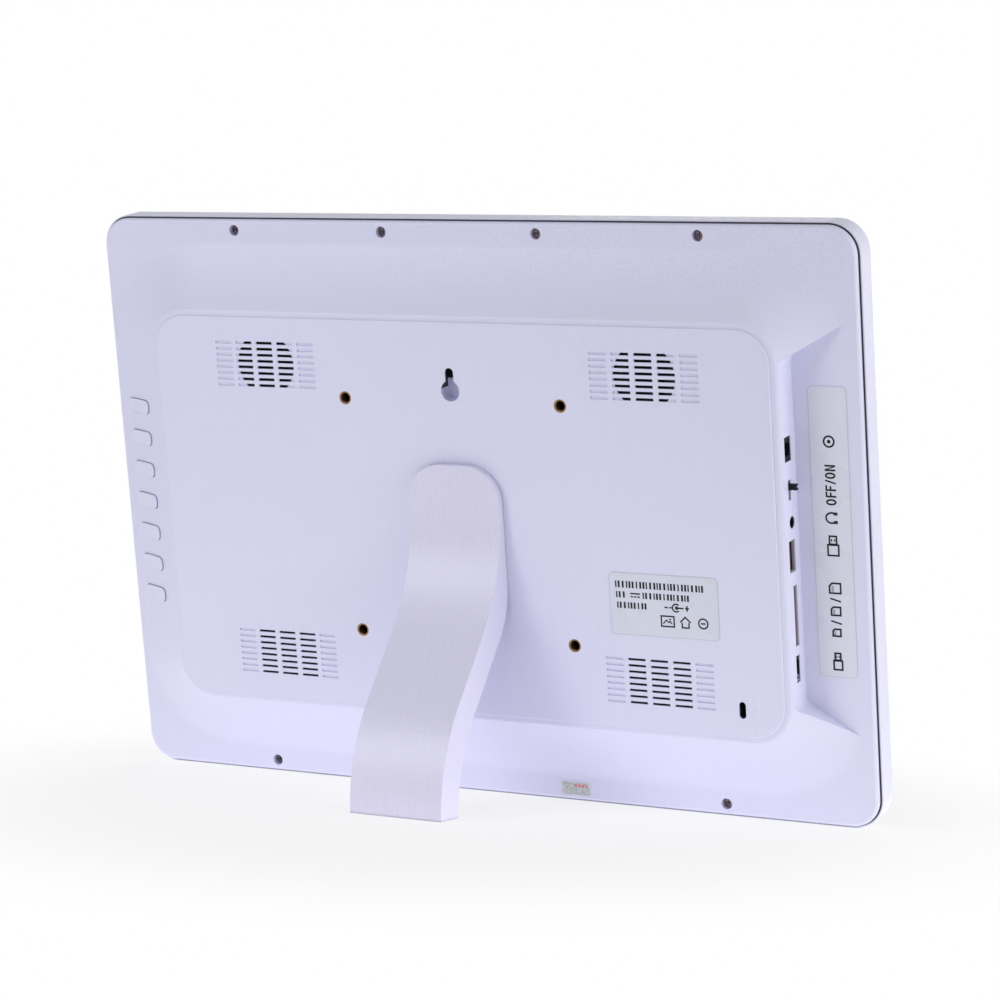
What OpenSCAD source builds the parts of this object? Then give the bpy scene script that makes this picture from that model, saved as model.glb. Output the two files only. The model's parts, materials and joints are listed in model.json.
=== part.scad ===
// Desktop digital photo frame: a two-part housing round a 13.3 inch screen, with a clip-on leg.
// The parts are laid out in the screen's own frame and leaned back together by posed().
// In that frame x is across the width, z is up along the screen and y is depth:
// y = 0 on the raised back panel, and y falls towards the screen.

/* [Housing] */
// Overall width of the frame
body_w = 350; // [330:1:390]
// Overall height of the bezel, along the screen
body_h = 246; // [236:1:280]
// Corner radius of the outline
body_r = 13; // [9:0.5:18]
// Wall thickness of the two mouldings
wall = 2.2; // [1.8:0.1:2.6]
// Depth of the bezel's rim
rim_depth = 12.8; // [12.8:0.1:16]
// Thickness of the bezel round the screen
front_wall = 2.3; // [2:0.1:2.6]
// Radius of the bezel's front edge
front_edge_r = 3; // [2:0.5:4]
// Radius of the back cover's outer edge
lip_r = 1.5; // [1:0.1:2.5]
// Step from the bezel's rim in to the back cover
parting_inset = 1.1; // [0.8:0.1:1.4]
// Width of the seam that shows round the back cover
seam_w = 0.6; // [0.4:0.1:0.7]
// Depth of the seam below the bezel's rim
seam_depth = 1.2; // [0.6:0.1:1.6]
// Shadow gap between the bezel and the back cover
parting_gap = 0.5; // [0.3:0.1:0.7]
// Depth of the shadow gap, in from the back cover's edge
parting_depth = 2.4; // [1.6:0.1:2.6]
// Backward lean of the screen
lean = 11; // [8:0.5:14]

/* [Back panel] */
// Distance from the housing's sides to the raised panel
panel_side = 33.2; // [33:0.1:36]
// Distance from the housing's top and bottom to the raised panel
panel_end = 39.9; // [38:0.1:44]
// Corner radius of the raised back panel
panel_r = 14; // [10:0.5:18]
// Height of the step round the raised panel
panel_step = 0.7; // [0.5:0.1:1.2]
// Radius of the raised panel's edge
panel_edge_r = 0.5; // [0.3:0.1:0.6]
// Width of the ledge round the raised panel
ledge_w = 2.2; // [2:0.1:3]
// Radius of the ledge's outer edge, where the hollow slope starts
ledge_edge_r = 1.6; // [0.8:0.1:2]
// Width of the hollow slope from the ledge to the border
cove_run = 26; // [24:0.1:26]
// How far the slope is hollowed, at its middle
cove_hollow = 1.2; // [0.8:0.1:2]
// Radius where the slope meets the border
cove_foot_r = 8; // [4:0.5:8]
// Depth of the border below the raised panel
border_depth = 15; // [14:0.1:17]

/* [Screen] */
// Width of the bezel beside the picture
bezel_side = 31.95; // [31.5:0.05:36]
// Height of the bezel above and below the picture
bezel_end = 33.6; // [33:0.1:38]
// Width of the screen module's dark edge, beside the picture
module_side = 6.45; // [5:0.05:7]
// Height of the screen module's dark edge, above and below the picture
module_end = 8.1; // [6:0.1:9]
// Thickness of the glass cell
cell_t = 1.8; // [1.4:0.1:2.2]
// Thickness of the light guide
guide_t = 3; // [2.4:0.1:3.2]
// Sheet thickness of the steel tray
sheet_t = 0.8; // [0.6:0.1:1]

/* [Grilles and wall mount] */
// Spacing of the threaded inserts, both ways
vesa_pitch = 100; // [75:1:100]
// Outside diameter of the threaded inserts
insert_d = 5.6; // [5.2:0.1:6]
// Tapping bore of the threaded inserts
insert_bore_d = 3.3; // [3.1:0.1:3.5]
// Diameter of the countersink in the threaded inserts
insert_mouth_d = 4.5; // [4:0.1:4.8]
// Length of the threaded inserts
insert_l = 6.5; // [5:0.5:8]
// Distance of the grilles' middles from the raised panel's sides
grille_side = 54; // [52:0.1:57]
// Distance of the grilles' middles from the raised panel's top and bottom
grille_end = 20.1; // [19.5:0.1:22]
// Length of one grille slot
slot_l = 7.8; // [7:0.1:8.6]
// Spacing of the grille slots, across
slot_pitch_x = 10; // [9.6:0.1:10.4]
// Spacing of the grille slots, up and down
slot_pitch_z = 2.6; // [2.4:0.1:2.8]
// Height of one speaker grille slot
slot_h = 1.2; // [0.9:0.1:1.4]
// Height of one ventilation slot
vent_h = 1; // [0.8:0.1:1.3]
// Depth of the slots that stay blind
blind_depth = 0.5; // [0.4:0.1:1.2]
// Diameter of the keyhole's round end
keyhole_d = 8.7; // [8:0.1:9.5]
// Width of the keyhole's slot
keyhole_slot = 4; // [3.6:0.1:4.6]
// Height of the keyhole's round end above the middle
keyhole_z = 54.5; // [52:0.5:56]
// Distance from the keyhole's round end to the screw's seat
keyhole_drop = 7.6; // [7:0.1:9]
// Depth of the pocket behind the keyhole
keyhole_depth = 7; // [6:0.5:8]

/* [Ports] */
// Half the height of the port bay at its inner wall
bay_half = 70.3; // [66:0.1:72]
// Flare of the port bay's ends, in degrees
bay_flare = 30; // [26:0.5:34]
// Corner radius inside the port bay
bay_r = 4; // [3:0.5:6]
// Depth of the circuit board below the back panel
board_depth = 11.2; // [11:0.1:11.8]
// Thickness of the circuit boards
board_t = 1.6; // [1.2:0.2:1.6]
// Height of the power inlet above the middle
power_z = 34.6; // [33:0.1:36]
// Height of the slide switch above the middle
switch_z = 18.1; // [17:0.1:19]
// Travel of the slide switch
switch_travel = 2.8; // [2:0.1:3]
// Height of the headphone socket above the middle
phone_z = 4.8; // [4.4:0.1:5.4]
// Height of the USB socket below the middle
usb_z = 8.6; // [8.2:0.1:9.2]
// Height of the card slot below the middle
card_z = 33.2; // [32.4:0.1:33.6]
// Height of the small USB socket below the middle
mini_z = 55; // [54.4:0.1:55.4]

/* [Buttons] */
// Number of buttons
button_count = 7; // [5:1:7]
// Spacing of the buttons
button_pitch = 14; // [13:0.5:15]
// Height of the middle button, from the middle of the panel
button_z = -1.5; // [-4:0.5:4]
// Length of a button's opening, across the frame
button_l = 14.7; // [13:0.1:15]
// Height of a button's opening
button_h = 6.3; // [5.6:0.1:7]
// Corner radius of a button's opening
button_r = 2.5; // [1.5:0.1:2.7]
// Distance of the buttons from the ledge
button_out = 16.6; // [14:0.1:17]
// Clearance round a button
button_gap = 0.3; // [0.3:0.05:0.5]
// How far a button stands out of the cover
button_proud = 0.7; // [0.5:0.1:1]
// Travel of a button
button_travel = 0.5; // [0.3:0.1:0.6]

/* [Leg] */
// Width of the leg
leg_w = 42; // [38:0.2:50]
// Height of the leg's top above the middle
leg_top = 24; // [22:0.5:30]
// Corner radius of the leg's top
leg_r = 15; // [8:0.5:18]
// Thickness of the leg where it lies on the panel
leg_t = 3.4; // [3:0.1:4.5]
// Length of the flat part of the leg, outside
leg_flat = 16; // [12:0.5:18]
// Length of the flat part of the leg, inside
leg_seat = 48; // [46:0.5:50]
// Radius of the outside curve that leaves the panel
leg_bend_r = 68; // [60:1:72]
// Radius of the inside curve that leaves the panel
seat_bend_r = 31; // [28:1:34]
// Angle of the sloping part of the leg from the panel, outside
leg_slope = 46.5; // [44:0.5:48]
// Angle of the sloping part of the leg from the panel, inside
seat_slope = 46.5; // [44:0.5:48]
// Length of the sloping part of the leg, outside
leg_straight = 33.7; // [30:0.5:36]
// Length of the sloping part of the leg, inside
seat_straight = 35; // [33:0.5:37]
// Radius of the outside curve into the foot
foot_r = 66; // [60:1:70]
// Radius of the inside curve into the foot
foot_inner_r = 67; // [63:1:70]
// Clearance between the leg and the back panel
leg_gap = 0.3; // [0.2:0.05:0.5]
// How far the leg slides down to come off its hooks
leg_drop = 8; // [7:0.5:9]

/* [Hidden] */
$fn = 64;
cut = 1;
plastic = [0.84, 0.84, 0.93];
steel = [0.72, 0.73, 0.76];
brass = [0.72, 0.58, 0.34];
black = [0.08, 0.08, 0.09];
board_green = [0.08, 0.32, 0.20];
label_silver = [0.79, 0.80, 0.85];

// Levels along the depth
border_y = -border_depth;
lip_depth = 2.7;
parting_y = border_y - lip_depth;
front_y = parting_y - rim_depth;
glass_y = front_y + front_wall;
tray_y = glass_y + cell_t + guide_t + sheet_t;
board_y = -board_depth;
tongue_depth = 2.9;
tongue_t = 1.3;

// Sizes that follow the housing
panel_w = body_w - 2 * panel_side;
panel_h = body_h - 2 * panel_end;
picture_w = body_w - 2 * bezel_side;
picture_h = body_h - 2 * bezel_end;
module_w = picture_w + 2 * module_side;
module_h = picture_h + 2 * module_end;
grille_x = panel_w / 2 - grille_side;
grille_z = panel_h / 2 - grille_end;

// The cove is a hollow arc, rounded into the ledge above it and the border below it.
// Its section is drawn from the ledge's outer edge: x outwards, y along the depth.
ledge_outer_w = panel_w + 2 * ledge_w;
ledge_outer_h = panel_h + 2 * ledge_w;
ledge_r = panel_r + ledge_w;
cove_drop = border_depth - panel_step;
cove_chord = norm([cove_run, cove_drop]);
cove_r = pow(cove_chord, 2) / (8 * cove_hollow) + cove_hollow / 2;
cove_c = [cove_run, -panel_step - border_depth] / 2
    + (cove_r - cove_hollow) / cove_chord * [cove_drop, cove_run];
cove_foot_c = [cove_c[0] - sqrt(pow(cove_r - cove_foot_r, 2)
    - pow(cove_c[1] - border_y - cove_foot_r, 2)), border_y + cove_foot_r];
cove_end = cove_foot_c[0];
ledge_edge_c = [cove_c[0] - sqrt(pow(cove_r + ledge_edge_r, 2)
    - pow(cove_c[1] + panel_step + ledge_edge_r, 2)), -panel_step - ledge_edge_r];

// Port bay
bay_x = ledge_outer_w / 2 + 1;
mouth_x = bay_x - wall;
bay_reach = cove_run + 5;

// Main board, with its posts clear of the sockets and grilles: x is measured in from its outer edge
board_w = 82;
board_out_x = mouth_x - 0.8;
board_top_z = 44;
board_low_z = -62;
board_posts = [[76, 40], [22, 40], [76, -47], [22, -57]];
post_d = 6;
board_screw_d = 1.8;
post_thread_l = 7;
board_head_d = 4;
board_head_t = 1.3;

// Chips on the main board: x in from its outer edge, z, width, height, thickness
chips = [[46, -12, 15, 15, 1.4], [64, -10, 9, 12, 1.1], [64, -28, 9, 12, 1.1], [42, 14, 8, 8, 1.6],
    [30, 14, 7, 7, 3], [46, -36, 12, 6, 1.6]];
capacitors = [[58, 30], [50, 30]];
capacitor_d = 6.3;
capacitor_l = 6.5;

// Plugs: x in from the board's outer edge, z, width, height, and how far they stand off the board
sound_plug = [76, 30, 7, 5, 4];
screen_plug = [70, 14, 6, 30, 2];
key_plug = [70, -22, 5, 12, 2];

// Ribs inside the back panel
rib_x = 30;
rib_t = 1.4;
rib_depth = 5;
rib_top = grille_z - 25;
rib_low = 5 - panel_h / 2;

// Housing screws, from the middle of the border
screw_head_d = 4.3;
screw_well_d = 4.7;
screw_shank_d = 2.4;
screw_hole_d = 2.8;
screw_floor = 1.5;
screw_well_depth = 4.2;
screw_head_h = 1.8;
screw_past = 6;
cross_w = 0.6;
cross_l = 2.4;
cross_depth = 0.9;
boss_d = 6.4;
boss_rib = 1.6;
screw_mid_x = 35.9;
case_x = body_w / 2 - 67.5;
case_z = body_h / 2 - 5.7;
case_screws_at = [[-case_x, case_z], [-screw_mid_x, case_z], [screw_mid_x, case_z], [case_x, case_z],
    [-case_x, -case_z], [case_x, -case_z]];
boss_y = border_y - screw_well_depth - screw_floor;

// Straps that hold the screen module on the bezel's posts
strap_w = 14;
strap_l = 20;
strap_t = 1.2;
strap_x = module_w / 2 - 49.5;
strap_boss_z = module_h / 2 + 6.5;
strap_past = 4;
screw_head_t = 1.5;
screen_rib = 1.5;
screen_gap = 0.3;
cell_inset = 1.5;
guide_inset = 2.5;
strap_thread_l = 4;
window_r = 1;
window_bevel = 1.4;

// Buttons
button_x = ledge_outer_w / 2 + button_out;
flange_grow = 0.8;
flange_gap = 0.35;
flange_t = 0.8;
stem_d = 3.2;
key_board_y = -23.4;
key_board_t = 1.2;
key_board_w = 16;
key_board_h = 112;
key_post_z = 51;
key_post_d = 5;
key_thread_l = 5;
key_switch_w = 6;
key_switch_h = 3.4;
plunger_d = 3.4;
plunger_h = 0.8;
plunger_gap = 0.3;
switch_top_y = key_board_y + key_switch_h + plunger_h;

// Speakers
speaker_d = 30.6;
cone_d = 26;
speaker_hole_d = 27.2;
speaker_flange = 1.2;
basket_l = 4.6;
magnet_d = 18;
magnet_l = 4;
speaker_gap = 0.2;
speaker_ring = 1.6;
speaker_ring_depth = 3;
cone_t = 0.5;
cone_depth = 2.9;
dome_d = 10;
lead_d = 1.4;
lead_pitch = 2;
lead_fall = 7;
plug_gap = 0.3;

// Ribbons: thickness, widths, how far they run down past the board's edge, and lie on what they join
ribbon_t = 0.3;
ribbon_fall = 8;
display_ribbon_w = 24;
display_lay = 14;
key_ribbon_w = 8;
key_lay = 3.5;

// Leg curves and hooks
leg_steps = 20;
foot_past = 8;
hook_z = [14, -4];
hook_w = 12;
hook_h = 4;
head_w = 18;
head_t = 1.5;
hook_gap = 0.3;
head_gap = 0.4;

// Lock slot and labels
lock_at = [18.3 - panel_w / 2, 11.4 - panel_h / 2];
lock_w = 3;
lock_h = 7;
lock_plate_t = 1.2;
lock_plate_size = [12, 16];
label_t = 0.15;
label_r = 2;
rating_at = [50.5 - panel_w / 2, 52.5 - panel_h / 2];
rating_size = [48, 26];
port_label_at = [-bay_x - 14.4, -0.3];
port_label_size = [16.4, 118.2];
seal_at = [-38.8, 0.3 - case_z];
seal_size = [14, 6.5];
seal_r = 1;

// Sockets: width and height of each opening in the bay's wall and of the room in its socket,
// depth below the panel, and how far the socket reaches behind the wall
socket_gap = 0.2;
socket_back = 0.3;
socket_rim = 0.5;
power_open = [10, 6.3];
power_depth = 7.5;
power_l = 14;
power_bore_d = 5.6;
power_bore_l = 12;
power_pin_d = 2;
switch_open = [8, 2.5];
switch_room = [9, 3.6];
switch_depth = 7.6;
switch_l = 4.5;
switch_room_l = 2.4;
knob_w = 2.4;
knob_out = 3.4;
knob_notch_d = 1.2;
knob_foot = [4, 2.8, 1.4];
phone_open_d = 5;
phone_depth = 8.7;
phone_l = 12;
phone_w = 6.8;
phone_bore_d = 3.6;
usb_open = [13, 6];
usb_room = [12.1, 5.1];
usb_depth = 7.5;
usb_l = 14;
card_open = [25, 3.5];
card_room = [24.2, 2.6];
card_depth = 8.7;
card_l = 21;
mini_open = [11, 3.5];
mini_room = [7.4, 2.4];
mini_depth = 8.2;
mini_l = 9.5;

// Tongues in the sockets: width, thickness, distance behind the bay's face, and height off the middle
usb_tongue = [11, 1.9, 3.8, 1.2];
card_tongue = [22, 1, 20, -0.7];
mini_tongue = [5.4, 0.7, 2.8, 0];

// Where the leaned frame stands: the bezel's lower back edge and the leg's foot are on z = 0
stand_z = body_h / 2 * cos(lean) + parting_y * sin(lean);
leg_c1 = [leg_t + leg_bend_r, leg_top - leg_flat];
leg_p2 = leg_c1 + [-leg_bend_r * cos(leg_slope) + leg_straight * sin(leg_slope),
    -leg_bend_r * sin(leg_slope) - leg_straight * cos(leg_slope)];
leg_c2 = leg_p2 - foot_r * [cos(leg_slope), sin(leg_slope)];
front_low = [front_y + front_edge_r, front_edge_r - body_h / 2];
rear_reach = leg_c2[0] * cos(lean) + leg_c2[1] * sin(lean) + foot_r;
front_reach = front_low[0] * cos(lean) + front_low[1] * sin(lean) - front_edge_r;
stand_y = -(rear_reach + front_reach) / 2;

module posed() {
    translate([0, stand_y, stand_z]) rotate([-lean, 0, 0]) children();
}

// A flat outline, drawn across and up the screen, made solid between two depths
module slab(front, rear) {
    translate([0, rear, 0]) rotate([90, 0, 0]) linear_extrude(rear - front) children();
}

// A disc or pin along the depth
module pin(at, d, front, rear) {
    slab(front, rear) translate(at) circle(d = d);
}

module round_rect(w, h, r) {
    square([w - 2 * r, h], center = true);
    square([w, h - 2 * r], center = true);
    for (x = [-1, 1], z = [-1, 1]) {
        translate([x * (w / 2 - r), z * (h / 2 - r)]) circle(r);
    }
}

// The housing's outline, drawn in by a distance
module outline(inset) {
    round_rect(body_w - 2 * inset, body_h - 2 * inset, body_r - inset);
}

module ledge_outline(grow) {
    round_rect(ledge_outer_w + 2 * grow, ledge_outer_h + 2 * grow, ledge_r + grow);
}

// A profile of (distance outwards, depth), carried round a rounded rectangle
module around(w, h, r) {
    rotate([-90, 0, 0]) {
        for (x = [0, 1]) mirror([x, 0, 0]) translate([w / 2, h / 2 - r, 0]) {
            rotate([90, 0, 0]) linear_extrude(h - 2 * r) children();
        }
        for (z = [0, 1]) mirror([0, z, 0]) translate([-(w / 2 - r), h / 2, 0]) {
            rotate([90, 0, 90]) linear_extrude(w - 2 * r) children();
        }
        for (x = [0, 1], z = [0, 1]) mirror([x, 0, 0]) mirror([0, z, 0]) {
            translate([w / 2 - r, h / 2 - r, 0]) rotate_extrude(angle = 90) {
                translate([r, 0]) children();
            }
        }
    }
}

// The corner left outside a rounded edge
module edge_waste(r, y, side) {
    difference() {
        translate([-r, side > 0 ? y - r : y - cut]) square([r + cut, r + cut]);
        translate([-r, y - side * r]) circle(r);
    }
}

// The cove's section from its surface, moved in by a distance, down to the front of the housing
module cove_section(in) {
    low = front_y;
    touch = cove_c + (cove_foot_c - cove_c) * (cove_r + in) / (cove_r - cove_foot_r);
    difference() {
        translate([0, low]) square([touch[0], -panel_step - low]);
        translate(cove_c) circle(cove_r + in, $fn = 240);
    }
    difference() {
        translate([touch[0], low]) square([cove_end - touch[0], touch[1] - low]);
        translate(cove_foot_c) circle(cove_foot_r + in);
    }
}

// The cove's wall between two distances below its surface
module cove_band(near, far) {
    difference() {
        cove_section(near);
        cove_section(far);
    }
}

// The corner left outside the ledge's rounded edge
module ledge_edge_waste() {
    touch = ledge_edge_c + (cove_c - ledge_edge_c) * ledge_edge_r / (cove_r + ledge_edge_r);
    difference() {
        translate([ledge_edge_c[0], touch[1]]) square([touch[0] - ledge_edge_c[0] + cut, ledge_edge_r]);
        translate(ledge_edge_c) circle(ledge_edge_r);
    }
}

// Everything below the ledge's and the cove's surface
module cove_block() {
    around(ledge_outer_w, ledge_outer_h, ledge_r) cove_section(0);
    slab(front_y, -panel_step) ledge_outline(0);
}

// The hollow arc by itself, moved in by a distance and filled down to the front of the housing,
// over a straight length round one height on the buttons' side
module cove_beside(z, h, in) {
    translate([ledge_outer_w / 2, 0, z - h / 2]) linear_extrude(h) difference() {
        translate([0, front_y]) square([cove_run, -front_y]);
        translate(cove_c) circle(cove_r + in, $fn = 240);
    }
}

/* Front bezel */

module front_bezel() color(plastic) posed() difference() {
    rib_l = body_h / 2 - wall / 2 - case_z;
    union() {
        difference() {
            slab(front_y, parting_y) outline(0);
            slab(glass_y, parting_y + cut) outline(wall);
            slab(parting_y - seam_depth, parting_y + cut) outline(parting_inset - seam_w);
            around(body_w, body_h, body_r) edge_waste(front_edge_r, front_y, -1);
        }
        for (at = case_screws_at) {
            pin(at, boss_d, glass_y, boss_y);
            slab(glass_y, boss_y - boss_rib) translate([at[0], sign(at[1]) * (case_z + rib_l / 2)])
                square([boss_rib, rib_l], center = true);
        }
        for (x = [-strap_x, strap_x], z = [-strap_boss_z, strap_boss_z]) {
            pin([x, z], boss_d, glass_y, tray_y);
        }
        slab(glass_y, glass_y + guide_t) difference() {
            screen_area(-screen_gap - screen_rib);
            screen_area(-screen_gap);
        }
    }
    slab(front_y - cut, glass_y + cut) window();
    around(picture_w, picture_h, window_r) polygon([[-window_r / 2, front_y], [window_bevel, front_y],
        [0, front_y + window_bevel], [-window_r / 2, front_y + window_bevel]]);
    for (at = case_screws_at) pin(at, screw_shank_d, glass_y + 1, boss_y + cut);
    for (x = [-strap_x, strap_x], z = [-strap_boss_z, strap_boss_z]) {
        pin([x, z], screw_shank_d, glass_y + 1, tray_y + cut);
    }
}

module window() {
    round_rect(picture_w, picture_h, window_r);
}

/* Rear cover */

module rear_cover() color(plastic) posed() difference() {
    union() {
        difference() {
            cover_shell();
            slab(border_y, cut) bay_outline(0);
        }
        bay_tub();
        cover_bosses();
    }
    around(ledge_outer_w, ledge_outer_h, ledge_r) ledge_edge_waste();
    around(panel_w, panel_h, panel_r) edge_waste(panel_edge_r, 0, 1);
    grille_slots_cut();
    keyhole_cut();
    hook_slots_cut();
    port_openings();
    button_openings();
    slab(-wall - cut, cut) lock_opening();
    for (at = vesa_points()) pin(at, insert_d, -insert_l - cut, cut);
    for (at = case_screws_at) {
        pin(at, screw_well_d, border_y - screw_well_depth, border_y + cut);
        pin(at, screw_hole_d, boss_y - cut, border_y);
    }
    for (p = board_posts) pin(on_board(p), board_screw_d, board_y - cut, board_y + post_thread_l);
    for (at = key_posts()) pin(at, board_screw_d, key_board_y - cut, key_board_y + key_thread_l);
}

module cover_shell() {
    around(ledge_outer_w, ledge_outer_h, ledge_r) cove_band(0, wall);
    difference() {
        slab(parting_y + parting_gap, border_y) outline(parting_inset);
        slab(border_y - wall, border_y + cut) ledge_outline(cove_end);
        slab(parting_y - cut, border_y - wall) outline(parting_inset + wall);
        around(body_w - 2 * parting_inset, body_h - 2 * parting_inset, body_r - parting_inset)
            edge_waste(lip_r, border_y, 1);
    }
    difference() {
        slab(parting_y - tongue_depth, border_y - wall / 2) outline(parting_inset + parting_depth);
        slab(parting_y - tongue_depth - cut, border_y) outline(parting_inset + parting_depth + tongue_t);
    }
    difference() {
        slab(-panel_step - wall, -panel_step) ledge_outline(0);
        slab(-panel_step - wall - cut, 0) ledge_outline(-ledge_w - wall);
    }
    slab(-wall, 0) round_rect(panel_w, panel_h, panel_r);
}

// The port bay: a long recess with one square wall, flared ends and the border for its floor
function flare_z(x, grow) = bay_half + tan(bay_flare) * (x - bay_x) + grow / cos(bay_flare);
function bay_corner(grow) = let (
        x = bay_x + bay_r,
        z = flare_z(x, -bay_r),
        steps = 6
    ) [for (i = [0 : steps]) let (a = 180 - i * (90 - bay_flare) / steps)
        [x + (bay_r + grow) * cos(a), z + (bay_r + grow) * sin(a)]];

module bay_outline(grow) {
    far_x = ledge_outer_w / 2 + bay_reach;
    upper = concat(bay_corner(grow), [[far_x, flare_z(far_x, grow)]]);
    lower = [for (i = [len(upper) - 1 : -1 : 0]) [upper[i][0], -upper[i][1]]];
    mirror([1, 0]) polygon(concat(upper, lower));
}

module bay_tub() {
    slab(border_y - wall, border_y) intersection() {
        bay_outline(wall);
        outline(parting_inset + wall);
    }
    intersection() {
        slab(border_y - wall, 0) difference() {
            bay_outline(wall);
            bay_outline(0);
        }
        cove_block();
    }
}

module cover_bosses() {
    for (at = vesa_points()) pin(at, insert_d + 2 * wall, -insert_l - wall, -wall);
    for (at = case_screws_at) pin(at, boss_d, boss_y, border_y - wall);
    for (p = board_posts) pin(on_board(p), post_d, board_y, -wall);
    for (at = key_posts()) intersection() {
        pin(at, key_post_d, key_board_y, 0);
        cove_beside(at[1], 2 * key_post_d, wall / 2);
    }
    for (x = [-1, 1]) {
        slab(-wall - speaker_ring_depth, -wall) translate([x * grille_x, grille_z]) difference() {
            circle(d = speaker_d + 2 * (speaker_gap + speaker_ring));
            circle(d = speaker_d + 2 * speaker_gap);
        }
        slab(-wall - rib_depth, -wall) translate([x * rib_x - rib_t / 2, rib_low])
            square([rib_t, rib_top - rib_low]);
    }
    keyhole_pocket();
}

function vesa_points() = [for (x = [-1, 1], z = [-1, 1]) [x, z] * vesa_pitch / 2];
function key_posts() = [for (z = [-1, 1]) [button_x, button_z + z * key_post_z]];

// A place given by its distance in from the main board's outer edge, and its height
function on_board(p) = [p[0] - board_out_x, p[1]];

module slot_rows(columns, h) {
    for (c = columns, r = [-3.5 : 3.5]) {
        translate([c * slot_pitch_x, r * slot_pitch_z]) square([slot_l, h], center = true);
    }
}

module grille_slots_cut() {
    for (x = [-1, 1]) translate([x * grille_x, 0, 0]) {
        slab(-blind_depth, cut) translate([0, grille_z]) slot_rows([-2 : 2], slot_h);
        slab(-wall - cut, cut) translate([0, grille_z]) intersection() {
            slot_rows([-2 : 2], slot_h);
            circle(d = speaker_hole_d);
        }
        slab(-blind_depth, cut) translate([0, -grille_z]) slot_rows([-2, 2], vent_h);
        slab(-wall - cut, cut) translate([0, -grille_z]) slot_rows([-1 : 1], vent_h);
    }
}

// A long outline with round ends, from the keyhole's round end up to the screw's seat
module keyhole_outline(low_d, high_d) {
    translate([0, keyhole_z]) circle(d = low_d);
    translate([-high_d / 2, keyhole_z]) square([high_d, keyhole_drop]);
    translate([0, keyhole_z + keyhole_drop]) circle(d = high_d);
}

module keyhole_cut() {
    slab(-wall - cut, cut) keyhole_outline(keyhole_d, keyhole_slot);
}

// A closed pocket keeps the wall screw's head away from the circuits
module keyhole_pocket() {
    outer_d = keyhole_d + 2 * wall;
    difference() {
        slab(-keyhole_depth - wall, -wall) keyhole_outline(outer_d, outer_d);
        slab(-keyhole_depth, -wall + cut) keyhole_outline(keyhole_d, keyhole_d);
    }
}

module hook_slots_cut() {
    slab(-wall - cut, cut) for (z = hook_z) {
        translate([-hook_w / 2 - hook_gap, z - leg_drop])
            square([hook_w + 2 * hook_gap, leg_drop + hook_h / 2 + hook_gap]);
        translate([0, z - leg_drop])
            square([head_w + 2 * head_gap, hook_h + 2 * head_gap], center = true);
    }
}

module lock_opening() {
    translate(lock_at) {
        square([lock_w, lock_h - lock_w], center = true);
        for (z = [-1, 1]) translate([0, z * (lock_h - lock_w) / 2]) circle(d = lock_w);
    }
}

module port_opening(z, depth, size) {
    translate([-(mouth_x + wall / 2), -depth, z])
        cube([wall + 2 * cut, size[1], size[0]], center = true);
}

module port_openings() {
    port_opening(power_z, power_depth, power_open);
    port_opening(switch_z, switch_depth, switch_open);
    port_opening(-usb_z, usb_depth, usb_open);
    port_opening(-card_z, card_depth, card_open);
    port_opening(-mini_z, mini_depth, mini_open);
    translate([-bay_x - cut, -phone_depth, phone_z]) rotate([0, 90, 0])
        cylinder(d = phone_open_d, h = wall + 2 * cut);
}

/* Buttons */

function button_height(i) = button_z + ((button_count + 1) / 2 - i) * button_pitch;

module button_outline(i, grow) {
    translate([button_x, button_height(i)])
        round_rect(button_l + 2 * grow, button_h + 2 * grow, button_r + grow);
}

module button_openings() {
    slab(border_y - wall - cut, 0) for (i = [1 : button_count]) button_outline(i, 0);
}

// A slice of the cove's section beside the buttons, cut to a button's outline
module button_slice(i, near, far, grow) {
    intersection() {
        slab(border_y - 2 * wall, 0) button_outline(i, grow);
        difference() {
            cove_beside(button_height(i), button_pitch, near);
            cove_beside(button_height(i), button_pitch + cut, far);
        }
    }
}

module button(i) color(plastic) posed() {
    button_slice(i, -button_proud, wall + flange_gap + flange_t / 2, -button_gap);
    button_slice(i, wall + flange_gap, wall + flange_gap + flange_t, flange_grow);
    intersection() {
        pin([button_x, button_height(i)], stem_d, switch_top_y + button_travel + plunger_gap, 0);
        cove_beside(button_height(i), 2 * stem_d, wall / 2);
    }
}

module key_board() color(board_green) posed() difference() {
    slab(key_board_y - key_board_t, key_board_y) translate([button_x, button_z])
        square([key_board_w, key_board_h], center = true);
    for (at = key_posts()) {
        pin(at, board_screw_d, key_board_y - key_board_t - cut, key_board_y + cut);
    }
}

module key_switches() color(black) posed() {
    for (i = [1 : button_count]) {
        slab(key_board_y, key_board_y + key_switch_h) translate([button_x, button_height(i)])
            square(key_switch_w, center = true);
        pin([button_x, button_height(i)], plunger_d, key_board_y + key_switch_h, switch_top_y);
    }
}

/* Screen */

module screen_area(inset) {
    square([module_w - 2 * inset, module_h - 2 * inset], center = true);
}

module screen_glass() color(black) posed() slab(glass_y, glass_y + cell_t) screen_area(cell_inset);

module light_guide() color("white") posed() {
    slab(glass_y + cell_t, tray_y - sheet_t) screen_area(guide_inset);
}

module backlight_tray() color(steel) posed() difference() {
    slab(glass_y + screen_gap, tray_y) screen_area(0);
    slab(glass_y, tray_y - sheet_t) screen_area(sheet_t);
}

module screen_straps() color(steel) posed() {
    for (x = [-1, 1], z = [-1, 1]) difference() {
        slab(tray_y, tray_y + strap_t)
            translate([x * strap_x, z * (strap_boss_z + strap_past - strap_l / 2)])
            square([strap_w, strap_l], center = true);
        pin([x * strap_x, z * strap_boss_z], screw_shank_d, tray_y - cut, tray_y + strap_t + cut);
    }
}

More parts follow.
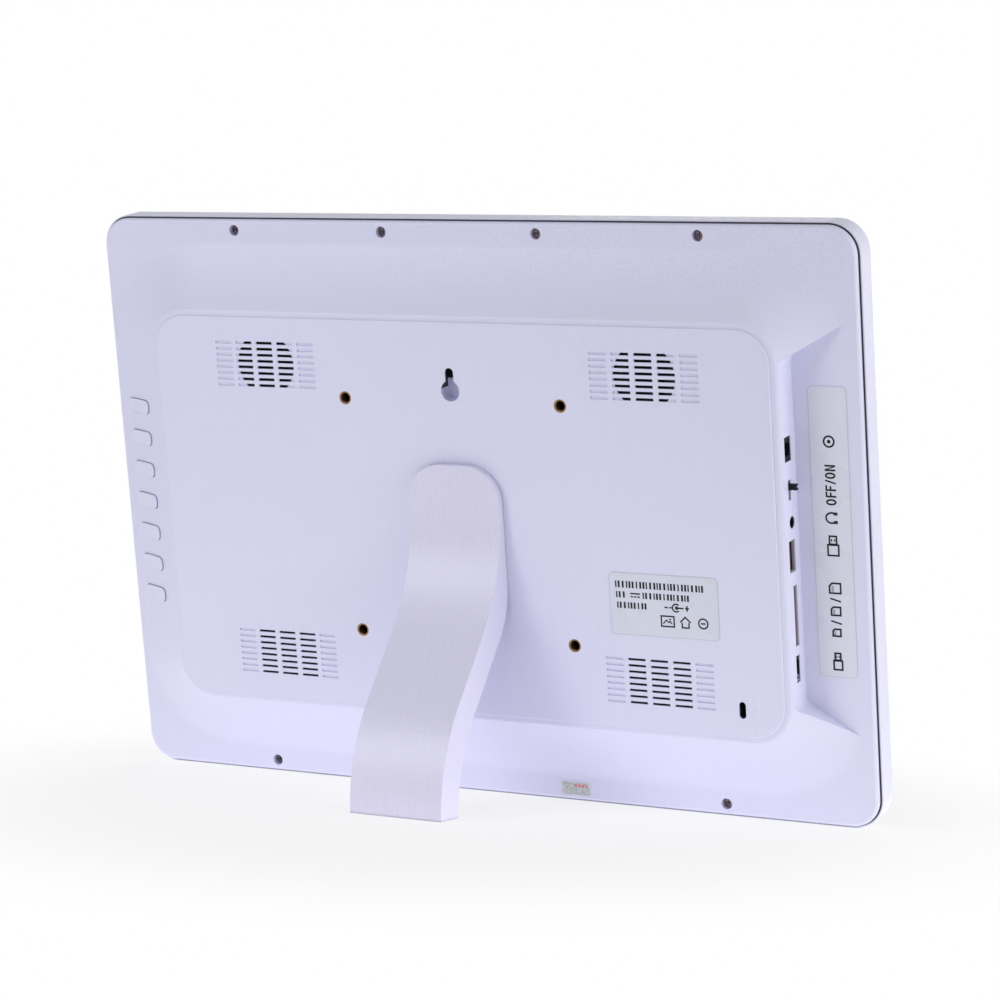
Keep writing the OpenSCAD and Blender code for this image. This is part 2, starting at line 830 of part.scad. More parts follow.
module strap_screws() color(steel) posed() {
    for (x = [-1, 1], z = [-1, 1]) {
        at = [x * strap_x, z * strap_boss_z];
        pin(at, screw_head_d, tray_y + strap_t, tray_y + strap_t + screw_head_t);
        pin(at, screw_shank_d, tray_y - strap_thread_l, tray_y + strap_t);
    }
}

/* Circuit board and sockets */

module main_board() color(board_green) posed() difference() {
    slab(board_y - board_t, board_y) translate([-board_out_x, board_low_z])
        square([board_w, board_top_z - board_low_z]);
    for (p = board_posts) pin(on_board(p), board_screw_d, board_y - board_t - cut, board_y + cut);
}

module chip(c) {
    slab(board_y, board_y + c[4]) translate(on_board(c)) square([c[2], c[3]], center = true);
}

module board_chips() color(black) posed() {
    for (c = chips) chip(c);
    for (c = capacitors) pin(on_board(c), capacitor_d, board_y, board_y + capacitor_l);
    chip(sound_plug);
    for (p = [screen_plug, key_plug]) {
        slab(board_y - board_t - p[4], board_y - board_t) translate(on_board(p))
            square([p[2], p[3]], center = true);
    }
}

// A screw whose head lies under a board, with its shank going up through it
module board_screw(at, board_low_y, l) {
    pin(at, board_head_d, board_low_y - board_head_t, board_low_y);
    pin(at, board_screw_d, board_low_y, board_low_y + l);
}

module board_screws() color(steel) posed() {
    for (p = board_posts) board_screw(on_board(p), board_y - board_t, post_thread_l);
    for (at = key_posts()) board_screw(at, key_board_y - key_board_t, key_thread_l);
}

// A box on the board, behind the bay's wall
module socket_box(z, w, top_y, l) {
    translate([-mouth_x, board_y, z - w / 2]) cube([l, top_y - board_y, w]);
}

// A straight bar or room round a socket's middle line, from behind the bay's face inwards
module socket_bar(z, depth, size, from, l) {
    translate([from - bay_x, -depth - size[1] / 2, z - size[0] / 2]) cube([l, size[1], size[0]]);
}

// A box with a nose that fills its opening in the bay's wall
module socket_body(z, depth, open, l) {
    socket_box(z, open[0] + 2 * socket_rim, open[1] / 2 + socket_rim - depth, l);
    socket_bar(z, depth, open - 2 * socket_gap * [1, 1], socket_back, wall);
}

// A round bore or pin on a socket's middle line, from behind the bay's face inwards
module socket_round(z, depth, d, from, l) {
    translate([from - bay_x, -depth, z]) rotate([0, 90, 0]) cylinder(d = d, h = l);
}

module power_inlet() color(black) posed() {
    difference() {
        socket_body(power_z, power_depth, power_open, power_l);
        socket_round(power_z, power_depth, power_bore_d, 0, power_bore_l);
    }
    socket_round(power_z, power_depth, power_pin_d, wall, power_bore_l);
}

module switch_housing() color(steel) posed() difference() {
    socket_box(switch_z, switch_room[0] + 2 * sheet_t, switch_room[1] / 2 + sheet_t - switch_depth,
        switch_l);
    socket_bar(switch_z, switch_depth, switch_room, 0, wall + switch_room_l);
}

module switch_knob() color(black) posed() {
    knob_t = switch_open[1] - 3 * socket_gap;
    rest_z = switch_z + switch_travel / 2;
    difference() {
        socket_bar(rest_z, switch_depth, [knob_w, knob_t], -knob_out, knob_out + wall + cut);
        translate([-bay_x - knob_out, -switch_depth, rest_z]) rotate([90, 0, 0])
            cylinder(d = knob_notch_d, h = switch_open[1], center = true);
    }
    socket_bar(rest_z, switch_depth, knob_foot, wall + socket_gap, knob_foot[2]);
}

module headphone_jack() color(black) posed() difference() {
    union() {
        socket_box(phone_z, phone_w, phone_w / 2 - phone_depth, phone_l);
        socket_round(phone_z, phone_depth, phone_open_d - socket_gap, socket_back, wall);
    }
    socket_round(phone_z, phone_depth, phone_bore_d, 0, wall + phone_l + cut);
}

// A metal shell with a tongue on its back wall
module shell_socket(z, depth, open, room, tongue, l) {
    difference() {
        socket_body(z, depth, open, l);
        socket_bar(z, depth, room, 0, wall + l - sheet_t);
    }
    socket_bar(z, depth - tongue[3], [tongue[0], tongue[1]], tongue[2], wall + l - tongue[2]);
}

module usb_socket() color(steel) posed() {
    shell_socket(-usb_z, usb_depth, usb_open, usb_room, usb_tongue, usb_l);
}

module card_socket() color(steel) posed() {
    shell_socket(-card_z, card_depth, card_open, card_room, card_tongue, card_l);
}

module small_usb_socket() color(steel) posed() {
    shell_socket(-mini_z, mini_depth, mini_open, mini_room, mini_tongue, mini_l);
}

/* Sound */

// The basket and magnet, turned about the middle of the grille
module speaker(side) {
    magnet_y = -wall - basket_l;
    translate([side * grille_x, 0, grille_z]) rotate([-90, 0, 0]) rotate_extrude() polygon([
        [cone_d / 2, -wall], [speaker_d / 2, -wall], [speaker_d / 2, -wall - speaker_flange],
        [magnet_d / 2, magnet_y], [magnet_d / 2, magnet_y - magnet_l], [0, magnet_y - magnet_l],
        [0, magnet_y + cone_t], [magnet_d / 2 - cone_t, magnet_y + cone_t],
        [cone_d / 2, -wall - speaker_flange]
    ]);
}

module speaker_left() color(black) posed() speaker(1);

module speaker_right() color(black) posed() speaker(-1);

// The cone's rim is glued inside the basket's mouth, and a dome closes its middle
module speaker_cones() color([0.15, 0.15, 0.16]) posed() {
    rim_y = -wall - cone_t / 2;
    surface = [[cone_d / 2, rim_y], [cone_d / 2 - 2, rim_y], [dome_d / 2, rim_y - cone_depth + cone_t],
        [0, rim_y - cone_depth / 2]];
    back = [for (i = [len(surface) - 1 : -1 : 0]) surface[i] - [0, cone_t]];
    for (x = [-1, 1]) translate([x * grille_x, 0, grille_z]) rotate([-90, 0, 0]) rotate_extrude()
        polygon(concat(surface, back));
}

/* Metal parts */

module vesa_inserts() color(brass) posed() {
    for (at = vesa_points()) difference() {
        pin(at, insert_d, -insert_l, 0);
        pin(at, insert_bore_d, -insert_l - cut, cut);
        translate([at[0], 0, at[1]]) rotate([90, 0, 0])
            cylinder(d1 = insert_mouth_d, d2 = insert_bore_d, h = (insert_mouth_d - insert_bore_d) / 2);
    }
}

module case_screws() color(steel) posed() {
    seat_y = border_y - screw_well_depth;
    for (at = case_screws_at) difference() {
        union() {
            pin(at, screw_head_d, seat_y, seat_y + screw_head_h);
            pin(at, screw_shank_d, boss_y - screw_past, seat_y);
        }
        for (a = [0, 90]) slab(seat_y + screw_head_h - cross_depth, seat_y + screw_head_h + cut)
            translate(at) rotate(a) square([cross_l, cross_w], center = true);
    }
}

module lock_plate() color(steel) posed() slab(-wall - lock_plate_t, -wall) difference() {
    translate(lock_at) square(lock_plate_size, center = true);
    lock_opening();
}

/* Labels */

module label(at, size, r, y) {
    slab(y, y + label_t) translate(at) round_rect(size[0], size[1], r);
}

module rating_label() color(label_silver) posed() label(rating_at, rating_size, label_r, 0);

module port_label() color(label_silver) posed() {
    label(port_label_at, port_label_size, label_r, border_y);
}

module seal_sticker() color(label_silver) posed() label(seal_at, seal_size, seal_r, border_y);

/* Wiring */

// A flat ribbon along points of (x, depth), with its middle and width given across the frame
module ribbon(path, z, w) {
    back = [for (i = [len(path) - 1 : -1 : 0]) path[i] + [0, ribbon_t]];
    translate([0, 0, z - w / 2]) linear_extrude(w) polygon(concat(path, back));
}

// A ribbon's first points: out of a plug under the main board, past the board's edge, to the screen
function off_board(plug) = let (
        plug_x = on_board(plug)[0] + plug[2] / 2,
        plug_y = board_y - board_t - plug[4] / 2,
        edge_x = board_w - board_out_x
    ) [[plug_x, plug_y], [edge_x, plug_y], [edge_x + ribbon_fall, tray_y]];

module display_ribbon() color([0.85, 0.80, 0.62]) posed() {
    path = off_board(screen_plug);
    ribbon(concat(path, [[path[2][0] + display_lay, tray_y]]), screen_plug[1], display_ribbon_w);
}

module key_ribbon() color([0.85, 0.80, 0.62]) posed() {
    board_edge_x = button_x - key_board_w / 2;
    ribbon(concat(off_board(key_plug), [[module_w / 2, tray_y], [board_edge_x + cut, key_board_y],
        [board_edge_x + key_lay, key_board_y]]), key_plug[1], key_ribbon_w);
}

// A thin lead through points in space, as a tube with flat sides
module lead(points, d) {
    sides = 8;
    last = len(points) - 1;
    rings = [for (i = [0 : last]) let (
            step = points[min(i + 1, last)] - points[max(i - 1, 0)],
            across = cross(step, [0, 1, 0]) / norm(cross(step, [0, 1, 0])),
            up = cross(across, step / norm(step))
        ) for (k = [0 : sides - 1]) let (a = 360 * k / sides)
            points[i] + d / 2 * (cos(a) * across + sin(a) * up)];
    polyhedron(rings, concat(
        [[for (k = [0 : sides - 1]) k]],
        [for (i = [0 : last - 1], k = [0 : sides - 1]) let (n = (k + 1) % sides)
            [i * sides + k, (i + 1) * sides + k, (i + 1) * sides + n, i * sides + n]],
        [[for (k = [sides - 1 : -1 : 0]) last * sides + k]]
    ));
}

// Each pair turns so that its two leads never cross: the outer one turns lower down
module speaker_leads() color([0.6, 0.1, 0.1]) posed() {
    lay_y = -wall - lead_d / 2;
    tab_y = -wall - basket_l - lead_d / 2 - plug_gap;
    tab_x = grille_x - 3;
    tab_z = grille_z - magnet_d / 2 - 1;
    plug = on_board(sound_plug);
    plug_y = board_y + sound_plug[4] / 2;
    side_x = sound_plug[2] / 2 + plug_gap;
    turn = lead_pitch;
    for (k = [0, 1]) let (
        run_z = rib_top + lead_d / 2 + plug_gap + lead_pitch * k,
        end_z = plug[1] + lead_pitch * (k - 1 / 2),
        left_x = tab_x - lead_pitch * k,
        right_x = lead_pitch * k - tab_x,
        fall_x = plug[0] - side_x - lead_fall + lead_pitch * k
    ) {
        lead([[left_x, tab_y, tab_z], [left_x, tab_y, run_z + turn], [left_x - 3 * turn, lay_y, run_z],
            [-rib_x - turn, lay_y, run_z], [plug[0] + side_x + 2 * turn, plug_y, end_z],
            [plug[0] + side_x, plug_y, end_z]], lead_d);
        lead([[right_x, tab_y, tab_z], [right_x, tab_y, tab_z - lead_fall],
            [fall_x, plug_y, end_z + 2 * turn], [fall_x, plug_y, end_z + turn],
            [fall_x + turn, plug_y, end_z], [plug[0] - side_x, plug_y, end_z]], lead_d);
    }
}

/* Leg */

// The leg's curves: one bends away from the panel, the other goes on past upright at the foot
function down_arc(c, r, a) = [for (i = [0 : leg_steps]) let (b = i * a / leg_steps)
    c - r * [cos(b), sin(b)]];
function foot_arc(c, r, a) = [for (i = [0 : leg_steps]) let (b = a - i * (a + foot_past) / leg_steps)
    c + r * [cos(b), sin(b)]];

function leg_outside() = concat([[leg_t, leg_top]], down_arc(leg_c1, leg_bend_r, leg_slope),
    foot_arc(leg_c2, foot_r, leg_slope));

function leg_inside() = let (
        c1 = [leg_gap + seat_bend_r, leg_top - leg_seat],
        p2 = c1 + [-seat_bend_r * cos(seat_slope) + seat_straight * sin(seat_slope),
            -seat_bend_r * sin(seat_slope) - seat_straight * cos(seat_slope)],
        c2 = p2 - foot_inner_r * [cos(seat_slope), sin(seat_slope)]
    ) concat([[leg_gap, leg_top]], down_arc(c1, seat_bend_r, seat_slope),
        foot_arc(c2, foot_inner_r, seat_slope));

module leg_side() {
    inside = leg_inside();
    polygon(concat(leg_outside(), [for (i = [len(inside) - 1 : -1 : 0]) inside[i]]));
}

module support_leg() color(plastic) intersection() {
    posed() {
        intersection() {
            translate([-leg_w / 2, 0, 0]) rotate([90, 0, 90]) linear_extrude(leg_w) leg_side();
            slab(-cut, rear_reach + body_h) union() {
                translate([-leg_w / 2, -body_h]) square([leg_w, body_h + leg_top - leg_r]);
                translate([-leg_w / 2 + leg_r, 0]) square([leg_w - 2 * leg_r, leg_top]);
                for (x = [-1, 1]) translate([x * (leg_w / 2 - leg_r), leg_top - leg_r])
                    circle(leg_r);
            }
        }
        for (z = hook_z) {
            slab(-wall - hook_gap - head_t / 2, leg_gap + leg_t / 2) translate([0, z])
                square([hook_w, hook_h], center = true);
            slab(-wall - hook_gap - head_t, -wall - hook_gap) translate([0, z])
                square([head_w, hook_h], center = true);
        }
    }
    translate([-leg_w, -body_h, 0]) cube([2 * leg_w, 2 * body_h, 2 * body_h]);
}

front_bezel();
rear_cover();
screen_glass();
light_guide();
backlight_tray();
screen_straps();
strap_screws();
main_board();
board_chips();
board_screws();
power_inlet();
switch_housing();
switch_knob();
headphone_jack();
usb_socket();
card_socket();
small_usb_socket();
key_board();
key_switches();
button(1);  // button_1
button(2);  // button_2
button(3);  // button_3
button(4);  // button_4
button(5);  // button_5
button(6);  // button_6
button(7);  // button_7
speaker_left();
speaker_right();
speaker_cones();
vesa_inserts();
case_screws();
lock_plate();
rating_label();
port_label();
seal_sticker();
display_ribbon();
key_ribbon();
speaker_leads();
support_leg();
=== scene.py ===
"""A digital photo frame seen from behind: finishes, printed labels, small trim and the studio.

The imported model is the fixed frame. Blender works in metres. Small details are laid out in
millimetres in the leaned back panel's own axes: across the frame, up from the panel's middle and
out of its face. The axes are read from the model. Noise scales are in waves per millimetre.
"""
import json
import math

import bmesh
import bpy
from mathutils import Matrix, Vector


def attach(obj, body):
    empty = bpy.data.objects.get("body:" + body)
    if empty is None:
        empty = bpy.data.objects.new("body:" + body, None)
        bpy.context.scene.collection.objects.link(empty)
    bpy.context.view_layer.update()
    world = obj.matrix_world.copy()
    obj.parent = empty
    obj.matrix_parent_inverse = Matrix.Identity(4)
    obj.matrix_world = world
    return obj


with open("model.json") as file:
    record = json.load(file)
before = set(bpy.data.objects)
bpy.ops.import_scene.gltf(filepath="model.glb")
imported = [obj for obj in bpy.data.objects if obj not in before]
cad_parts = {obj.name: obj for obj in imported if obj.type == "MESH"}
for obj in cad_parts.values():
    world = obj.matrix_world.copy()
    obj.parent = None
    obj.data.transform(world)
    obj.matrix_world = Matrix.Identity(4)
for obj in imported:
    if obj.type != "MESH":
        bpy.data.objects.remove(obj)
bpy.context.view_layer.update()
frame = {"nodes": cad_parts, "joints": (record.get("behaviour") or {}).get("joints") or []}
nodes = frame["nodes"]
MM = 0.001


# ---------------------------------------------------------------- the panel's own axes

def joint_axis(name):
    return next(Vector(j["axis"]) for j in frame["joints"] if j["name"] == name).normalized()


PANEL_UP = -joint_axis("leg_slide")
PANEL_ACROSS = Vector((1, 0, 0))
PANEL_OUT = PANEL_ACROSS.cross(PANEL_UP) * -1


def span(node, direction):
    """The lowest and the highest place of a node's points along a direction."""
    along = [v.co.dot(direction) for v in nodes[node].data.vertices]
    return min(along), max(along)


def middle(node, direction):
    return sum(span(node, direction)) / 2


PANEL_LEVEL = span("rear_cover", PANEL_OUT)[1]
PANEL_MIDDLE = middle("rear_cover", PANEL_UP)


def on_panel(across, up, out=0.0):
    """A place in the panel's axes, in millimetres, as a place in the scene."""
    return (PANEL_ACROSS * across * MM + PANEL_UP * (PANEL_MIDDLE + up * MM)
            + PANEL_OUT * (PANEL_LEVEL + out * MM))


def panel_place(node):
    """The middle of a node in the panel's axes, in millimetres."""
    return (middle(node, PANEL_ACROSS) / MM, (middle(node, PANEL_UP) - PANEL_MIDDLE) / MM,
            (middle(node, PANEL_OUT) - PANEL_LEVEL) / MM)


def face_level(node):
    """How far a node's outer face stands out of the panel, in millimetres."""
    return (span(node, PANEL_OUT)[1] - PANEL_LEVEL) / MM


# Sizes in millimetres
INSERT_RADIUS = 2.8
SOCKET_SETBACK = 0.3
BODY_CORNER = 13
LABEL_CORNER = 2
# How far the inserts' middles are from the panel's middle, across and up
INSERT_REACH = span("vesa_inserts", PANEL_ACROSS)[1] / MM - INSERT_RADIUS
# Where the wall with the ports is, across
BAY_FACE = span("usb_socket", PANEL_ACROSS)[0] / MM - SOCKET_SETBACK


# ---------------------------------------------------------------- camera

def add_camera():
    data = bpy.data.cameras.new("camera")
    camera = bpy.data.objects.new("camera", data)
    bpy.context.scene.collection.objects.link(camera)
    bpy.context.scene.camera = camera
    place = Vector((-0.6442, 1.1942, 0.2026))
    right = Vector((-0.8846, -0.4657, 0.0244))
    up = Vector((0.0478, -0.0384, 0.9982))
    back = right.cross(up).normalized()
    up = back.cross(right).normalized()
    turn = Matrix((right, up, back)).transposed().to_4x4()
    camera.matrix_world = Matrix.Translation(place) @ turn
    data.sensor_width = 36
    data.lens = 118.53
    data.clip_start = 0.05
    data.clip_end = 20


add_camera()


# ---------------------------------------------------------------- material building

class Graph:
    """A material with short calls for its shader nodes. Lengths are in millimetres."""

    def __init__(self, name, colour, rough, metallic=0.0, **settings):
        self.material = bpy.data.materials.new(name)
        self.material.use_nodes = True
        self.tree = self.material.node_tree
        self.shader = self.tree.nodes["Principled BSDF"]
        self.colour = (*colour, 1)
        self.axes = None
        self.set("Base Color", self.colour)
        self.set("Roughness", rough)
        self.set("Metallic", metallic)
        for key, value in settings.items():
            self.set(key.replace("_", " ").title().replace("Ior", "IOR"), value)

    def feed(self, socket, value):
        """Link a node's output to a socket, or write a plain value on it."""
        if isinstance(value, bpy.types.NodeSocket):
            self.tree.links.new(value, socket)
        else:
            socket.default_value = value

    def set(self, socket, value):
        """Give one of the main shader's sockets its value."""
        self.feed(self.shader.inputs[socket], value)

    def add(self, kind, inputs, output=0, **settings):
        """A node with its inputs, each a socket or a plain value."""
        node = self.tree.nodes.new("ShaderNode" + kind)
        for key, value in settings.items():
            setattr(node, key, value)
        for key, value in inputs.items():
            self.feed(node.inputs[key], value)
        return node.outputs[output]

    # Sums

    def math(self, operation, a, b=0.0):
        return self.add("Math", {0: a, 1: b}, operation=operation)

    def total(self, *values):
        result = values[0]
        for value in values[1:]:
            result = self.math("ADD", result, value)
        return result

    def times(self, *values):
        result = values[0]
        for value in values[1:]:
            result = self.math("MULTIPLY", result, value)
        return result

    def centred(self, value, amount=1.0):
        """A texture's value moved from round a half to round 0, then scaled."""
        return self.times(self.math("SUBTRACT", value, 0.5), amount)

    def distance(self, a, b):
        """The length of a line with these two parts at right angles."""
        return self.math("SQRT", self.total(self.times(a, a), self.times(b, b)))

    def off(self, value, centre):
        """How far a value is from a centre, on either side."""
        return self.math("ABSOLUTE", self.math("SUBTRACT", value, centre))

    def ramp(self, value, start, end, low=0.0, high=1.0):
        """Goes smoothly from low to high as the value goes from start to end, and stays there."""
        return self.add("MapRange", {"Value": value, "From Min": start, "From Max": end,
                                     "To Min": low, "To Max": high},
                        interpolation_type="SMOOTHSTEP")

    def inside(self, value, low, high):
        """1 between two limits, 0 outside them."""
        reach, soft = (high - low) / 2, 0.02
        return self.ramp(self.off(value, (low + high) / 2), reach - soft, reach + soft, 1, 0)

    # Places

    def object_place(self):
        """The scene's own axes as a vector for a texture."""
        where = self.add("TexCoord", {}, "Object")
        return self.add("VectorMath", {0: where, 3: 1 / MM}, operation="SCALE")

    def panel_axes(self):
        """Distances across the panel, up from its middle and out of it."""
        if self.axes is None:
            where = self.add("TexCoord", {}, "Object")
            self.axes = []
            for axis, start in ((PANEL_ACROSS, 0), (PANEL_UP, PANEL_MIDDLE),
                                (PANEL_OUT, PANEL_LEVEL)):
                along = self.add("VectorMath", {0: where, 1: axis}, "Value",
                                 operation="DOT_PRODUCT")
                self.axes.append(self.times(self.math("SUBTRACT", along, start), 1 / MM))
        return self.axes

    def stretched(self, across, up, out):
        """The panel's axes, each scaled, as a vector for a texture."""
        x, y, z = self.panel_axes()
        return self.add("CombineXYZ", {0: self.times(x, across), 1: self.times(y, up),
                                       2: self.times(z, out)})

    def inset(self, node, corner):
        """How far a place lies inside a node's rounded outline on the panel."""
        beyond = []
        for along, direction in zip(self.panel_axes(), (PANEL_ACROSS, PANEL_UP)):
            low, high = span(node, direction)
            start = PANEL_MIDDLE if direction is PANEL_UP else 0
            reach = (high - low) / 2 / MM - corner
            off = self.off(along, ((low + high) / 2 - start) / MM)
            beyond.append(self.math("MAXIMUM", self.math("SUBTRACT", off, reach), 0))
        return self.math("SUBTRACT", corner, self.distance(*beyond))

    # Textures and colours

    def noise(self, vector, scale, detail=2.0, rough=0.5):
        return self.add("TexNoise", {"Vector": vector, "Scale": scale, "Detail": detail,
                                     "Roughness": rough})

    def grain(self, scale=1.9):
        """The fine grain of a moulding."""
        return self.noise(self.object_place(), scale, rough=0.7)

    def cloud(self, scale, amount):
        """Broad faint patches, as a shade round 0."""
        return self.centred(self.noise(self.object_place(), scale), amount)

    def mix(self, factor, a, b):
        """Colour a, or b where the factor is 1."""
        node = self.tree.nodes.new("ShaderNodeMix")
        node.data_type = "RGBA"
        for index, value in ((0, factor), (6, a), (7, b)):
            self.feed(node.inputs[index], value)
        return node.outputs[2]

    def shaded(self, value):
        """The material's colour made lighter and darker by a value round 1."""
        return self.add("VectorMath", {0: self.colour[:3], 3: value}, operation="SCALE")

    def bump(self, *layers):
        """Heights with their depth in metres and strength, one after the other."""
        normal = None
        for height, depth, strength in layers:
            inputs = {"Height": height, "Distance": depth, "Strength": strength}
            if normal is not None:
                inputs["Normal"] = normal
            normal = self.add("Bump", inputs)
        self.set("Normal", normal)


# ---------------------------------------------------------------- plastics

WHITE = (0.652, 0.655, 0.845)
GLOSS_WHITE = (0.690, 0.700, 0.860)
LEG_WHITE = (0.640, 0.626, 0.795)
BUTTON_WHITE = (0.668, 0.668, 0.860)
# Painted shade for the groove between the bezel and the back cover
PAINTED_SEAM_SHADE = (0.20, 0.15, 0.20, 1)
# Near black: black plastic's own colour, and the painted shade inside the cover
DARK = (0.012, 0.011, 0.014, 1)


def hairlines(g, mask):
    """Fine upright brushing: a shade round 0 where the mask is 1, and its heights."""
    fine = g.noise(g.stretched(1, 0.02, 0.02), 4.2, 3)
    broad = g.noise(g.stretched(1, 0.008, 0.008), 0.9)
    return g.times(g.total(g.centred(fine, 0.10), g.centred(broad, 0.05)), mask), fine


def keyhole_pocket(g):
    """Where the keyhole's pocket is, and which of its surfaces stay white; the rest of the pocket
    gets painted shade.
    """
    across, up, out = g.panel_axes()
    round_middle, slot_start, floor_depth = 55.1, 58.5, -6.7
    pocket = g.times(g.inside(across, -4.6, 4.6), g.inside(up, 49.5, 67))
    floor = g.times(g.ramp(out, floor_depth - 0.2, floor_depth, 1, 0),
                    g.ramp(up, slot_start, slot_start + 0.3, 1, 0))
    lower_wall = g.ramp(up, round_middle, round_middle + 0.3, 1, 0)
    return pocket, g.times(pocket, g.math("MAXIMUM", lower_wall, floor))


def cover_plastic():
    """White moulding: brushed raised panel, grain with painted glints on the upper border,
    painted shade inside the shell, painted light in the keyhole pocket.
    """
    rough, panel_top, inner_across, inner_up, skin = 0.42, 82.5, 137, 78.5, -0.6
    g = Graph("cover_plastic", WHITE, rough)
    across, up, out = g.panel_axes()
    panel = g.times(g.ramp(out, -0.45, -0.25),
                    g.ramp(g.math("ABSOLUTE", up), panel_top, panel_top + 0.7, 1, 0))
    lines, fine = hairlines(g, g.times(panel, g.ramp(across, 150, -60, 0.3, 0.75)))
    # Grain with painted glints: bright and dark flecks, strongest on the upper border and towards
    # the ports' side, faint elsewhere.
    border = g.times(g.ramp(up, 78, 112), g.ramp(out, -0.5, -1.5),
                     g.ramp(across, 120, -60, 0.3, 1))
    grain_and_painted_glints = g.centred(g.grain(1.2), g.total(g.times(border, 0.24), 0.03))
    pocket, unshaded_pocket_faces = keyhole_pocket(g)
    # Painted shade: more than 0.6 mm below the panel, inside the shell, the colour is near black,
    # except the keyhole pocket's lower wall and floor.
    painted_inner_shade = g.times(g.inside(across, -inner_across, inner_across),
                   g.inside(up, -inner_up, inner_up), g.ramp(out, skin, skin - 0.2),
                   g.math("SUBTRACT", 1, unshaded_pocket_faces))
    # The last term is painted light: the keyhole pocket's colour gets lighter from 1 to 6 mm in.
    shade = g.total(lines, grain_and_painted_glints, g.cloud(0.013, 0.035), 1.0,
                    g.times(pocket, g.ramp(out, -1, -6), 0.3))
    g.set("Base Color", g.mix(painted_inner_shade, g.shaded(shade), DARK))
    g.set("Roughness", g.total(g.centred(fine, g.times(panel, 0.25)), rough))
    g.bump((g.times(fine, panel), 0.00002, 0.35), (g.grain(), 0.00002, 0.25))
    return g.material


def bezel_plastic():
    """Satin moulding with a faint orange peel, and painted shade in the groove round the cover.
    """
    g = Graph("bezel_plastic", GLOSS_WHITE, 0.38, specular_ior_level=0.2)
    _, up, out = g.panel_axes()
    peel = g.noise(g.object_place(), 0.35)
    # Painted shade: the bezel's groove round the cover is painted dark, except along the bottom
    # edge.
    within_rim = g.ramp(g.inset("front_bezel", BODY_CORNER), 0.42, 0.52)
    groove = g.times(g.ramp(out, -17.75, -18.0), g.ramp(out, -19.8, -19.4))
    above_foot = g.ramp(up, -121, -118)
    g.set("Base Color", g.mix(g.times(within_rim, groove, above_foot),
                              g.shaded(g.total(g.cloud(0.012, 0.03), 1.0)), PAINTED_SEAM_SHADE))
    g.set("Roughness", g.ramp(peel, 0.2, 0.8, 0.32, 0.44))
    g.bump((peel, 0.00002, 0.2))
    return g.material


def leg_plastic():
    """Satin moulding, brushed lengthways on its broad faces."""
    g = Graph("leg_plastic", LEG_WHITE, 0.34)
    sideways = g.add("VectorMath", {0: g.add("NewGeometry", {}, "Normal"), 1: PANEL_ACROSS},
                     "Value", operation="DOT_PRODUCT")
    broad_face = g.ramp(g.math("ABSOLUTE", sideways), 0.3, 0.7, 1, 0)
    lines, fine = hairlines(g, g.times(broad_face, 0.45))
    g.set("Base Color", g.shaded(g.total(lines, g.cloud(0.02, 0.03), 1.0)))
    streaks = g.centred(fine, broad_face)
    g.set("Roughness", g.ramp(streaks, -0.2, 0.2, 0.25, 0.43))
    g.bump((streaks, 0.00002, 0.3), (g.grain(), 0.00002, 0.2))
    return g.material


def button_plastic():
    """The housing's white, finely grained and unbrushed."""
    g = Graph("button_plastic", BUTTON_WHITE, 0.36)
    g.set("Base Color", g.shaded(g.total(g.cloud(0.2, 0.04), 1.0)))
    g.set("Roughness", g.ramp(g.grain(), 0.2, 0.8, 0.30, 0.42))
    g.bump((g.grain(), 0.00002, 0.3))
    return g.material


def black_plastic(name="black_plastic", pin=None):
    """Black moulding with fine grain. A plated pin of a given radius on a line through a given
    place, up and out, shows as metal."""
    g = Graph(name, DARK[:3], 0.5, specular_ior_level=0.15)
    speck = g.grain(3.0)
    colour = g.mix(g.ramp(speck, 0.35, 0.75), (0.005, 0.005, 0.007, 1), (0.012, 0.012, 0.015, 1))
    if pin:
        pin_up, pin_out, radius = pin
        _, up, out = g.panel_axes()
        away = g.distance(g.math("SUBTRACT", up, pin_up), g.math("SUBTRACT", out, pin_out))
        plated = g.ramp(away, radius + 0.05, radius + 0.1, 1, 0)
        colour = g.mix(plated, colour, (0.55, 0.55, 0.58, 1))
        g.set("Metallic", plated)
    g.set("Base Color", colour)
    g.set("Roughness", g.ramp(speck, 0.2, 0.8, 0.4, 0.58))
    g.bump((speck, 0.00003, 0.4))
    return g.material


# ---------------------------------------------------------------- metals

def metal(name, colour, rough, tint, direction):
    """Plated or turned metal: fine lines along one direction, a second tint in its thin oxide."""
    g = Graph(name, colour, rough, metallic=1.0)
    lines = g.noise(g.stretched(*direction), 6.0, 3)
    patch = g.noise(g.object_place(), 0.7, 3)
    g.set("Base Color", g.mix(g.ramp(patch, 0.35, 0.75), g.colour, (*tint, 1)))
    g.set("Roughness", g.ramp(lines, 0.2, 0.8, rough - 0.08, rough + 0.1))
    g.bump((lines, 0.00001, 0.5))
    return g.material


def socket_shell():
    """Stamped shell: dull metal at its mouth, painted shade (near black, not metallic) further
    in.
    """
    dull = 0.3
    g = Graph("socket_shell", (0.36, 0.31, 0.36), 0.45, metallic=dull)
    lines = g.noise(g.stretched(0.03, 1, 1), 6.0, 3)
    plated = g.mix(g.ramp(lines, 0.3, 0.7), (0.62, 0.54, 0.62, 1), (0.50, 0.42, 0.49, 1))
    # Painted shade: from 1.2 mm in past the bay's face the shell is painted near black and loses
    # its metal.
    painted_shade_inside = g.ramp(g.panel_axes()[0], BAY_FACE + 1.2, BAY_FACE + 1.6)
    g.set("Base Color", g.mix(painted_shade_inside, plated, (0.006, 0.006, 0.008, 1)))
    g.set("Metallic", g.ramp(painted_shade_inside, 0, 1, dull, 0))
    g.set("Roughness", g.ramp(lines, 0.2, 0.8, 0.38, 0.55))
    g.bump((lines, 0.00001, 0.5))
    return g.material


